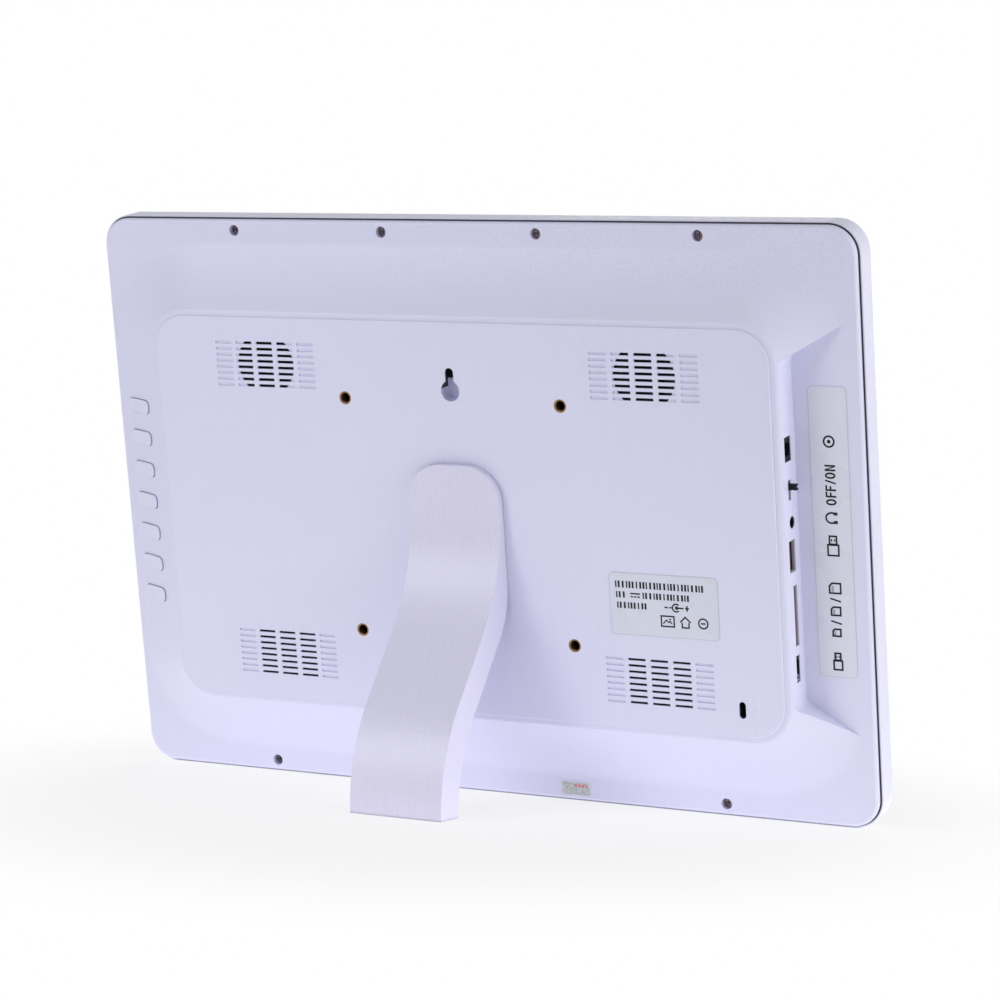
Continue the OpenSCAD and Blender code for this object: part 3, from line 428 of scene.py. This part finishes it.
def insert_brass():
    """Turned brass: a plain ring round the mouth, painted shade down the bore."""
    bore_radius = 2.2
    g = Graph("turned_brass", (0.42, 0.27, 0.13), 0.3, metallic=1.0)
    across, up, out = g.panel_axes()
    away = g.distance(*(g.math("SUBTRACT", g.math("ABSOLUTE", along), INSERT_REACH)
                        for along in (across, up)))
    # Painted shade: inside the bore radius and below its mouth the brass is painted near black.
    bore = g.times(g.ramp(out, -0.08, -0.3), g.ramp(away, bore_radius, bore_radius + 0.1, 1, 0))
    lines = g.noise(g.stretched(1, 1, 0.05), 6.0, 3)
    brass = g.mix(g.ramp(lines, 0.35, 0.75), (0.28, 0.17, 0.08, 1), (0.18, 0.10, 0.045, 1))
    g.set("Base Color", g.mix(bore, brass, (0.020, 0.013, 0.010, 1)))
    g.set("Roughness", g.ramp(lines, 0.2, 0.8, 0.2, 0.4))
    g.bump((lines, 0.00001, 0.5))
    return g.material


# ---------------------------------------------------------------- labels and electronics

def label_film(node, colour):
    """Silver-white film with a faint satin sheen, soft patches and painted shade along its cut
    edge.
    """
    g = Graph(node + "_film", colour, 0.3, coat_weight=0.2, coat_roughness=0.15)
    patch = g.noise(g.object_place(), 0.05)
    # Painted shade: the colour is darkened by up to 0.22 within about 0.45 mm of the label's cut
    # edge.
    edge = g.ramp(g.inset(node, LABEL_CORNER), 0.45, 0.1)
    fibre = g.grain(4.0)
    shade = g.total(g.centred(patch, 0.10), g.centred(fibre, 0.03), 1.0)
    g.set("Base Color", g.shaded(g.math("SUBTRACT", shade, g.times(edge, 0.22))))
    g.set("Roughness", g.ramp(patch, 0.3, 0.7, 0.24, 0.36))
    g.bump((patch, 0.0004, 0.12), (fibre, 0.00001, 0.2))
    return g.material


def print_ink():
    """Nearly black ink with a slight speckle."""
    g = Graph("print_ink", (0.012, 0.011, 0.016), 0.5, specular_ior_level=0.2)
    speck = g.grain(5.0)
    g.set("Base Color", g.mix(g.ramp(speck, 0.3, 0.8), (0.008, 0.008, 0.012, 1),
                              (0.020, 0.019, 0.026, 1)))
    g.set("Roughness", g.ramp(speck, 0.3, 0.8, 0.36, 0.5))
    return g.material


def seal_film():
    """A fine even weave in grey and green, with a plain reddish strip and a bare border."""
    g = Graph("seal_film", (0.45, 0.48, 0.48), 0.35)
    middle_across, middle_up, _ = panel_place("seal_sticker")
    border_across, border_up = 6.2, 2.6
    across, up, _ = g.panel_axes()
    weave = g.add("TexVoronoi", {"Vector": g.stretched(1, 1, 1), "Scale": 2.1}, "Distance")
    speck = g.noise(g.stretched(1, 1.3, 1), 2.4, 3, 0.7)
    dark = g.times(g.ramp(speck, 0.42, 0.6), g.ramp(weave, 0.15, 0.4))
    ground = g.mix(dark, (0.62, 0.66, 0.67, 1), (0.20, 0.26, 0.25, 1))
    waves = g.add("TexWave", {"Vector": g.stretched(1, 0, 0), "Scale": 0.19}, "Fac")
    strip = g.times(g.inside(across, middle_across - 5.4, middle_across + 1.2),
                    g.inside(up, middle_up + 0.6, middle_up + 2.0), g.ramp(waves, 0.15, 0.35))
    border = g.math("MAXIMUM",
                    g.ramp(g.off(across, middle_across), border_across, border_across + 0.1),
                    g.ramp(g.off(up, middle_up), border_up, border_up + 0.1))
    pattern = g.mix(strip, ground, (0.60, 0.16, 0.20, 1))
    g.set("Base Color", g.mix(border, pattern, (0.60, 0.62, 0.72, 1)))
    return g.material


def screen_cell():
    """Dark display cell behind an anti-glare film."""
    g = Graph("screen_cell", (0.008, 0.008, 0.011), 0.14, coat_weight=0.5, coat_roughness=0.1)
    speck = g.noise(g.object_place(), 3.0)
    g.set("Base Color", g.mix(g.ramp(speck, 0.3, 0.7), (0.007, 0.007, 0.010, 1),
                              (0.011, 0.011, 0.015, 1)))
    g.set("Roughness", g.ramp(speck, 0.2, 0.8, 0.12, 0.19))
    g.bump((speck, 0.00001, 0.15))
    return g.material


def circuit_board():
    """Green solder mask with lighter tracks and tinned pads."""
    g = Graph("circuit_board", (0.02, 0.12, 0.06), 0.3)
    where = g.stretched(1, 1, 1)
    tracks = g.add("TexBrick", {"Vector": where, "Scale": 0.35, "Mortar Size": 0.03}, "Fac")
    dots = g.add("TexVoronoi", {"Vector": where, "Scale": 0.45}, "Distance")
    green = g.mix(tracks, (0.015, 0.10, 0.05, 1), (0.03, 0.19, 0.09, 1))
    g.set("Base Color", g.mix(g.ramp(dots, 0.16, 0.2, 1, 0), green, (0.55, 0.56, 0.58, 1)))
    g.bump((tracks, 0.00003, 0.5))
    return g.material


def ribbon_film():
    """Cream film over tinned strips that run along it."""
    g = Graph("ribbon_film", (0.70, 0.62, 0.42), 0.35)
    strips = g.add("TexWave", {"Vector": g.stretched(0, 1, 0), "Scale": 0.32}, "Fac",
                   bands_direction="Y")
    g.set("Base Color", g.mix(g.ramp(strips, 0.4, 0.6), (0.72, 0.64, 0.45, 1),
                              (0.55, 0.52, 0.47, 1)))
    return g.material


def plain_grain(name, colour, second, rough, scale):
    """Two close tints in a fine grain, for what is only glimpsed."""
    g = Graph(name, colour, rough)
    speck = g.grain(scale)
    g.set("Base Color", g.mix(g.ramp(speck, 0.3, 0.7), (*colour, 1), (*second, 1)))
    g.set("Roughness", g.ramp(speck, 0.2, 0.8, rough - 0.07, rough + 0.07))
    g.bump((speck, 0.00004, 0.4))
    return g.material


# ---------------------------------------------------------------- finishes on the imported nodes

INLET_PIN = (34.6, -7.5, 1.0)  # up, out and radius in millimetres
BLACK = black_plastic()
STEEL = metal("plated_steel", (0.56, 0.57, 0.60), 0.3, (0.48, 0.49, 0.54), (1, 0.03, 1))
BRASS = insert_brass()
SHELL = socket_shell()
SCREW = metal("screw_steel", (0.20, 0.16, 0.18), 0.32, (0.13, 0.10, 0.12), (1, 1, 1))
INK = print_ink()
COVER = cover_plastic()
BUTTON = button_plastic()

FINISHES = {
    "rear_cover": COVER,
    "front_bezel": bezel_plastic(),
    "support_leg": leg_plastic(),
    "screen_glass": screen_cell(),
    "light_guide": plain_grain("light_guide", (0.78, 0.79, 0.82), (0.72, 0.73, 0.77), 0.25, 1.0),
    "vesa_inserts": BRASS,
    "case_screws": SCREW,
    "power_inlet": black_plastic("power_black", INLET_PIN),
    "usb_socket": SHELL,
    "card_socket": SHELL,
    "switch_housing": SHELL,
    "small_usb_socket": BLACK,
    "rating_label": label_film("rating_label", (0.600, 0.630, 0.740)),
    "port_label": label_film("port_label", (0.630, 0.650, 0.765)),
    "seal_sticker": seal_film(),
    "speaker_cones": plain_grain("cone_paper", (0.016, 0.016, 0.017), (0.030, 0.030, 0.032),
                                 0.7, 1.6),
    "speaker_leads": plain_grain("lead_sleeve", (0.30, 0.02, 0.02), (0.24, 0.015, 0.015),
                                 0.35, 1.0),
}
for name in ("main_board", "key_board"):
    FINISHES[name] = circuit_board()
for name in ("display_ribbon", "key_ribbon"):
    FINISHES[name] = ribbon_film()
for name in ("headphone_jack", "switch_knob", "speaker_left", "speaker_right", "board_chips",
             "key_switches"):
    FINISHES[name] = BLACK
for name in ("backlight_tray", "screen_straps", "strap_screws", "board_screws", "lock_plate"):
    FINISHES[name] = STEEL
for name, obj in nodes.items():
    obj.data.materials.clear()
    obj.data.materials.append(BUTTON if name.startswith("button_") else FINISHES[name])


# ---------------------------------------------------------------- small pieces, in mesh code

def add_piece(name, bm, material):
    """A piece of the housing, from mesh code."""
    bmesh.ops.recalc_face_normals(bm, faces=bm.faces)
    mesh = bpy.data.meshes.new(name)
    bm.to_mesh(mesh)
    bm.free()
    mesh.materials.append(material)
    obj = bpy.data.objects.new(name, mesh)
    bpy.context.scene.collection.objects.link(obj)
    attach(obj, "housing")


def corners(x, y, w, h):
    """The corners of an upright rectangle round a middle."""
    return [(x - w / 2, y - h / 2), (x + w / 2, y - h / 2), (x + w / 2, y + h / 2),
            (x - w / 2, y + h / 2)]


class Print:
    """Thin marks on a flat face, drawn in millimetres from a middle, with their own right and up.

    Strokes are written x, y, then sizes, then the width of the line.
    """

    def __init__(self, place, right, up, thick=0.04):
        self.bm = bmesh.new()
        self.origin = on_panel(*place)
        self.right = right
        self.up = up
        self.thick = thick

    def point(self, x, y, height):
        away = self.right * x + self.up * y + PANEL_OUT * height
        return self.bm.verts.new(self.origin + away * MM)

    def shape(self, points):
        """A filled outline with a flat top."""
        top = [self.point(x, y, self.thick) for x, y in points]
        low = [self.point(x, y, 0) for x, y in points]
        self.bm.faces.new(top)
        self.bm.faces.new(list(reversed(low)))
        for i in range(len(points)):
            j = (i + 1) % len(points)
            self.bm.faces.new((top[i], low[i], low[j], top[j]))

    def bar(self, x, y, w, h):
        self.shape(corners(x, y, w, h))

    def box(self, x, y, w, h, width):
        self.stroke(corners(x, y, w, h), width, closed=True)

    def disc(self, x, y, r):
        steps = 24
        turns = [2 * math.pi * i / steps for i in range(steps)]
        self.shape([(x + r * math.cos(a), y + r * math.sin(a)) for a in turns])

    def stroke(self, points, width, closed=False):
        """A line of even width through points, mitred at its corners."""
        sharpest = 0.3
        count = len(points)
        rings = []
        for i, here in enumerate(points):
            here = Vector(here)
            ways = []
            if closed or i:
                ways.append((here - Vector(points[i - 1])).normalized())
            if closed or i < count - 1:
                ways.append((Vector(points[(i + 1) % count]) - here).normalized())
            way = sum(ways, Vector((0, 0))).normalized()
            side = Vector((-way.y, way.x))
            mitre = side.dot(Vector((-ways[0].y, ways[0].x)))
            reach = width / 2 / max(sharpest, mitre)
            left, right = here + side * reach, here - side * reach
            rings.append([self.point(*left, self.thick), self.point(*right, self.thick),
                          self.point(*right, 0), self.point(*left, 0)])
        for i in range(count if closed else count - 1):
            a, b = rings[i], rings[(i + 1) % count]
            for k in range(4):
                self.bm.faces.new((a[k], b[k], b[(k + 1) % 4], a[(k + 1) % 4]))
        if not closed:
            self.bm.faces.new(rings[0])
            self.bm.faces.new(list(reversed(rings[-1])))

    def arc(self, x, y, rx, ry, start, end, width, steps=24):
        """Part of an oval between two angles in degrees, or a whole one."""
        closed = end - start >= 360
        points = []
        for i in range(steps if closed else steps + 1):
            a = math.radians(start + (end - start) * i / steps)
            points.append((x + rx * math.cos(a), y + ry * math.sin(a)))
        self.stroke(points, width, closed)

    def ring(self, x, y, rx, ry, width):
        self.arc(x, y, rx, ry, 0, 360, width)

    def finish(self, name, material):
        add_piece(name, self.bm, material)


# Marks are drawn on a print p round a place x, with a height h and a line width t

def letter_f(p, x, h, t):
    w = 0.52 * h
    left, right, low, high, bar = x - w / 2, x + w / 2, -h / 2, h / 2, 0.02 * h
    p.shape([(left, low), (left + t, low), (left + t, bar - t / 2), (x + w * 0.36, bar - t / 2),
             (x + w * 0.36, bar + t / 2), (left + t, bar + t / 2), (left + t, high - t),
             (right, high - t), (right, high), (left, high)])


def letter_n(p, x, h, t):
    w = 0.56 * h
    left, right, low, high, slant = x - w / 2, x + w / 2, -h / 2, h / 2, 1.9 * t
    p.shape([(left, low), (left + t, low), (left + t, high - slant), (right - t, low),
             (right, low), (right, high), (right - t, high), (right - t, low + slant),
             (left + t, high), (left, high)])


def letter_o(p, x, h, t):
    p.ring(x, 0, 0.29 * h - t / 2, h / 2 - t / 2, t)


def off_on(p, x, h, t):
    """OFF/ON, the only words, beside the switch."""
    pitch = 0.68 * h
    letter_o(p, x - 2.45 * pitch, h, t)
    letter_f(p, x - 1.45 * pitch, h, t)
    letter_f(p, x - 0.6 * pitch, h, t)
    p.stroke([(x + 0.02 * pitch, -h / 2), (x + 0.42 * pitch, h / 2)], t * 0.9)
    letter_o(p, x + 1.05 * pitch, h, t)
    letter_n(p, x + 2.05 * pitch, h, t)


def headphones(p, x, h, t):
    p.arc(x, 0.02 * h, 0.40 * h, 0.46 * h, -25, 205, t)
    for side in (-1, 1):
        ear = x + side * 0.33 * h
        p.stroke([(ear, -0.14 * h), (ear, -0.46 * h)], 1.7 * t)


def plug(p, x, length, h, t):
    """A flat plug from above: its body, and its metal end with two windows."""
    p.box(x - 0.22 * length, 0, 0.5 * length, h, t)
    tip = x + 0.25 * length
    p.box(tip, 0, 0.38 * length, 0.66 * h, t)
    for side in (-1, 1):
        p.bar(tip, side * 0.14 * h, 0.12 * length, 0.12 * h)


def card(p, x, w, h, t):
    """A memory card with one cut corner and its row of contacts."""
    low_left, low_right, high_right, high_left = corners(x, 0, w, h)
    cut = 0.28 * w
    p.stroke([low_left, low_right, (high_right[0], high_right[1] - cut),
              (high_right[0] - cut, high_right[1]), high_left], t, closed=True)
    for i in range(3):
        p.bar(x - 0.27 * w + i * 0.2 * w, 0.22 * h, 0.09 * w, 0.24 * h)


def barrel(p, x, r, t):
    """A round plug seen end on."""
    p.ring(x, 0, r, r, t)
    p.disc(x, 0, 0.36 * r)


def polarity(p, x, y, t):
    """Minus on the sleeve, plus on the pin."""
    p.bar(x - 4.6, y, 1.5, t)
    p.bar(x - 2.7, y, 1.0, t)
    p.arc(x - 0.2, y, 1.6, 1.6, 45, 315, t)
    p.disc(x, y, 0.75)
    p.bar(x + 1.9, y, 2.3, t)
    plus, arm = x + 4.6, 0.85
    p.bar(plus, y, 2 * arm, t)
    for side in (-1, 1):
        p.bar(plus, y + side * (arm + t) / 2, t, arm)


def house(p, x, y, h, t):
    """Indoor use: three walls under a roof."""
    wall, eave = 0.34 * h, 0.52 * h
    p.stroke([(x - wall, y - 0.02 * h), (x - wall, y - h / 2), (x + wall, y - h / 2),
              (x + wall, y - 0.02 * h)], t)
    p.stroke([(x - eave, y), (x, y + h / 2), (x + eave, y)], t)


def picture(p, x, y, w, h, t):
    """A frame with hills and a sun in it."""
    p.box(x, y, w, h, t)
    hills = ((-0.36, -0.24), (-0.10, 0.12), (0.08, -0.10), (0.18, 0.02), (0.34, -0.24))
    p.stroke([(x + across * w, y + up * h) for across, up in hills], t * 0.8)
    p.disc(x + 0.2 * w, y + 0.2 * h, 0.09 * h)


def print_port_label():
    """Marks beside their ports, read with the head to the right, so along is up the panel."""
    cap, thin = 4.5, 0.74
    p = Print((panel_place("port_label")[0], 0, face_level("port_label")), PANEL_UP, PANEL_ACROSS)

    def beside(node, shift):
        return panel_place(node)[1] + shift

    barrel(p, beside("power_inlet", 2), 2.15, thin)
    off_on(p, beside("switch_housing", 1.6), cap, thin)
    headphones(p, beside("headphone_jack", 1), 5.2, thin)
    plug(p, beside("usb_socket", 3.2), 8.6, cap, thin)
    cards = beside("card_socket", 1)
    for step, size in ((-8.8, 3.3), (0, 3.9), (9.4, 4.7)):
        card(p, cards + step, 0.86 * size, size, thin)
    for step in (-4.6, 4.6):
        p.stroke([(cards + step - 0.6, -cap / 2), (cards + step + 0.6, cap / 2)], thin * 0.9)
    plug(p, beside("small_usb_socket", 2.2), 7.4, 0.8 * cap, thin)
    p.finish("port_label_print", INK)


def upright_bars(p, start, end, y, h):
    """A row of upright bars of uneven width and spacing."""
    x = start
    step = 0
    while x < end:
        width = 0.6 + 0.25 * ((step * step) % 3)
        p.bar(x + width / 2, y, width, h)
        x += width + 0.55 + 0.22 * ((5 * step * step + step) % 4)
        step += 1


def print_rating_label():
    """Bars and pictograms in the place of the ratings."""
    across, up, _ = panel_place("rating_label")
    p = Print((across, up, face_level("rating_label")), -PANEL_ACROSS, PANEL_UP)
    thin, second_row, icons = 0.62, 3.8, -6.2
    upright_bars(p, -21.2, 18.6, 8.1, 2.8)
    upright_bars(p, -21.0, -16.2, second_row, 2.6)
    upright_bars(p, -9.2, 12.2, second_row, 2.6)
    p.bar(-12.5, 4.4, 4.4, thin)  # direct current: a bar over three dashes
    for i in range(3):
        p.bar(-14.0 + 1.5 * i, 3.1, 1.0, thin)
    upright_bars(p, -20.8, -7.4, -0.6, 2.6)
    polarity(p, 5.6, -0.4, thin)
    picture(p, 1.4, icons, 5.6, 4.3, thin)
    house(p, 9.2, icons, 4.4, thin)
    p.ring(17.0, icons, 2.0, 2.0, thin)
    p.bar(17.0, icons, 2.0, thin)
    p.finish("rating_label_print", INK)


def padlock_mark():
    """A faint raised padlock beside the lock slot."""
    across, up, _ = panel_place("lock_plate")
    line = 0.35
    p = Print((across - 5.4, up - 0.4, 0), -PANEL_ACROSS, PANEL_UP, 0.08)
    p.box(0, -0.7, 2.6, 2.0, line)
    p.arc(0, 0.5, 0.85, 1.1, 0, 180, line, 12)
    p.finish("padlock_mark", COVER)


def thread_ring(bm, across, up, top, length):
    """One insert's thread, a ridge that winds down its bore and tapers at both ends."""
    bore, ridge, pitch, half_base, steps, fade = 1.65, 0.2, 0.7, 0.25, 20, 6
    wall = bore + 0.02
    last = int(length / pitch) * steps
    rings = []
    for i in range(last + 1):
        a = 2 * math.pi * i / steps
        depth = top - pitch * i / steps
        crest = bore - 0.01 - min(1, i / fade, (last - i) / fade) * ridge
        rings.append([bm.verts.new(on_panel(across + r * math.cos(a), up + r * math.sin(a), d))
                      for r, d in ((wall, depth + half_base), (crest, depth),
                                   (wall, depth - half_base))])
    for a, b in zip(rings, rings[1:]):
        for k in range(3):
            bm.faces.new((a[k], b[k], b[(k + 1) % 3], a[(k + 1) % 3]))
    bm.faces.new(rings[0])
    bm.faces.new(list(reversed(rings[-1])))


def insert_threads():
    low, high = span("vesa_inserts", PANEL_OUT)
    top = (high - PANEL_LEVEL) / MM - 0.7
    length = (high - low) / MM - 1.6
    bm = bmesh.new()
    for across in (-INSERT_REACH, INSERT_REACH):
        for up in (-INSERT_REACH, INSERT_REACH):
            thread_ring(bm, across, up, top, length)
    add_piece("insert_threads", bm, BRASS)


def bevelled_bar(bm, low, high, edge):
    """A bar between two corners in the panel's axes, in millimetres, with bevelled edges."""
    made = bmesh.ops.create_cube(bm, size=1)["verts"]
    for v in made:
        v.co = on_panel(*(a + (b - a) * (c + 0.5) for a, b, c in zip(low, high, v.co)))
    edges = list({e for v in made for e in v.link_edges})
    bmesh.ops.bevel(bm, geom=edges, offset=edge * MM, segments=2, profile=0.5, affect="EDGES")


def socket_details():
    """What shows in the mouths of the sockets: insulators and their contact strips."""
    face = BAY_FACE + 0.7
    usb_tongue, mini_tongue = BAY_FACE + 3.9, BAY_FACE + 2.9
    usb, mini, cards = (panel_place(node)[1]
                        for node in ("usb_socket", "small_usb_socket", "card_socket"))
    insulators = bmesh.new()
    bevelled_bar(insulators, (face, usb - 5.5, -7.25), (usb_tongue, usb + 5.5, -5.35), 0.2)
    bevelled_bar(insulators, (face + 0.6, mini - 2.7, -8.5), (mini_tongue, mini + 2.7, -7.9), 0.1)
    add_piece("socket_insulators", insulators, BLACK)

    strips = bmesh.new()
    half, thin_edge = 0.5, 0.03
    for i in range(4):
        z = usb + (i - 1.5) * 2.3
        bevelled_bar(strips, (face + 0.7, z - half, -7.36), (usb_tongue - 0.1, z + half, -7.24),
                     thin_edge)
    for i in range(9):
        z = cards + (i - 4) * 2.5
        bevelled_bar(strips, (BAY_FACE + 13, z - half, -10.0), (BAY_FACE + 19.8, z + half, -9.85),
                     thin_edge)
    for shift, low, high in ((-4.6, -9.6, -6.9), (-3.4, -9.2, -8.3), (-2.6, -8.4, -7.5)):
        z = mini + shift
        bevelled_bar(strips, (face - 0.42, z - 0.32, low), (face + 0.2, z + 0.32, high), 0.08)
    add_piece("contact_strips", strips, STEEL)


print_port_label()
print_rating_label()
padlock_mark()
insert_threads()
socket_details()


# ---------------------------------------------------------------- studio

def add_light(name, place, aim, size, watts, colour=(1, 1, 1)):
    data = bpy.data.lights.new(name, "AREA")
    data.color = colour
    data.shape = "RECTANGLE"
    data.size, data.size_y = size
    data.energy = watts
    light = bpy.data.objects.new(name, data)
    bpy.context.scene.collection.objects.link(light)
    light.location = place
    light.rotation_mode = "QUATERNION"
    light.rotation_quaternion = (Vector(aim) - Vector(place)).to_track_quat("-Z", "Y")


def seen_directly(tree):
    """1 for what the camera, a mirror or glass sees, 0 for light that falls on the object."""
    rays = tree.nodes.new("ShaderNodeLightPath")
    total = rays.outputs["Is Camera Ray"]
    for name in ("Is Glossy Ray", "Is Transmission Ray"):
        join = tree.nodes.new("ShaderNodeMath")
        join.operation = "ADD"
        join.use_clamp = True
        tree.links.new(total, join.inputs[0])
        tree.links.new(rays.outputs[name], join.inputs[1])
        total = join.outputs[0]
    return total


def blend_shaders(tree, factor, first, second, output):
    """The first shader, or the second where the factor is 1, on an output's surface."""
    mix = tree.nodes.new("ShaderNodeMixShader")
    tree.links.new(factor, mix.inputs["Fac"])
    tree.links.new(first, mix.inputs[1])
    tree.links.new(second, mix.inputs[2])
    tree.links.new(mix.outputs[0], tree.nodes[output].inputs["Surface"])


def add_world(strength):
    """A plain white fill, with a white background behind it."""
    world = bpy.data.worlds.new("studio")
    bpy.context.scene.world = world
    world.use_nodes = True
    tree = world.node_tree
    fill = tree.nodes["Background"]
    shown = tree.nodes.new("ShaderNodeBackground")
    for background, level in ((fill, strength), (shown, 1)):
        background.inputs["Color"].default_value = (1, 1, 1, 1)
        background.inputs["Strength"].default_value = level
    blend_shaders(tree, seen_directly(tree), fill.outputs[0], shown.outputs[0], "World Output")


def add_floor():
    """A pale floor that keeps the object's shadow and goes over into plain white away from it."""
    half, near, far, least_white = 4, 0.12, 0.30, 0.72
    mesh = bpy.data.meshes.new("floor")
    mesh.from_pydata([(-half, -half, 0), (half, -half, 0), (half, half, 0), (-half, half, 0)], [],
                     [(0, 1, 2, 3)])
    floor = bpy.data.objects.new("floor", mesh)
    bpy.context.scene.collection.objects.link(floor)
    g = Graph("floor", (0.92, 0.92, 0.93), 0.9)
    mesh.materials.append(g.material)
    away = g.add("VectorMath", {0: g.add("TexCoord", {}, "Object")}, "Value", operation="LENGTH")
    cover = g.ramp(away, near, far, least_white, 1)
    white = g.add("Emission", {"Color": (1, 1, 1, 1), "Strength": 1.0})
    blend_shaders(g.tree, g.times(cover, seen_directly(g.tree)), g.shader.outputs[0], white,
                  "Material Output")


add_light("key", (0.5, 0.8, 0.42), (0, 0, 0.15), (0.4, 0.4), 2.3)
add_light("side", (-1.5, 0.05, 0.35), (0, 0, 0.1), (1.0, 0.6), 11.8, (1, 0.985, 0.95))
add_light("table", (0, 0.12, 0.0001), (0, 0.12, 1), (0.6, 0.5), 0.50, (1, 0.97, 0.91))
add_light("top", (0.3, 0.9, 1.6), (0, 0, 0.1), (1.5, 1.5), 6.6)
add_light("front", (0.2, -1.5, 0.35), (0, 0, 0.12), (1.0, 0.6), 10)
add_world(0.235)
add_floor()

bpy.context.scene.view_settings.view_transform = "Standard"
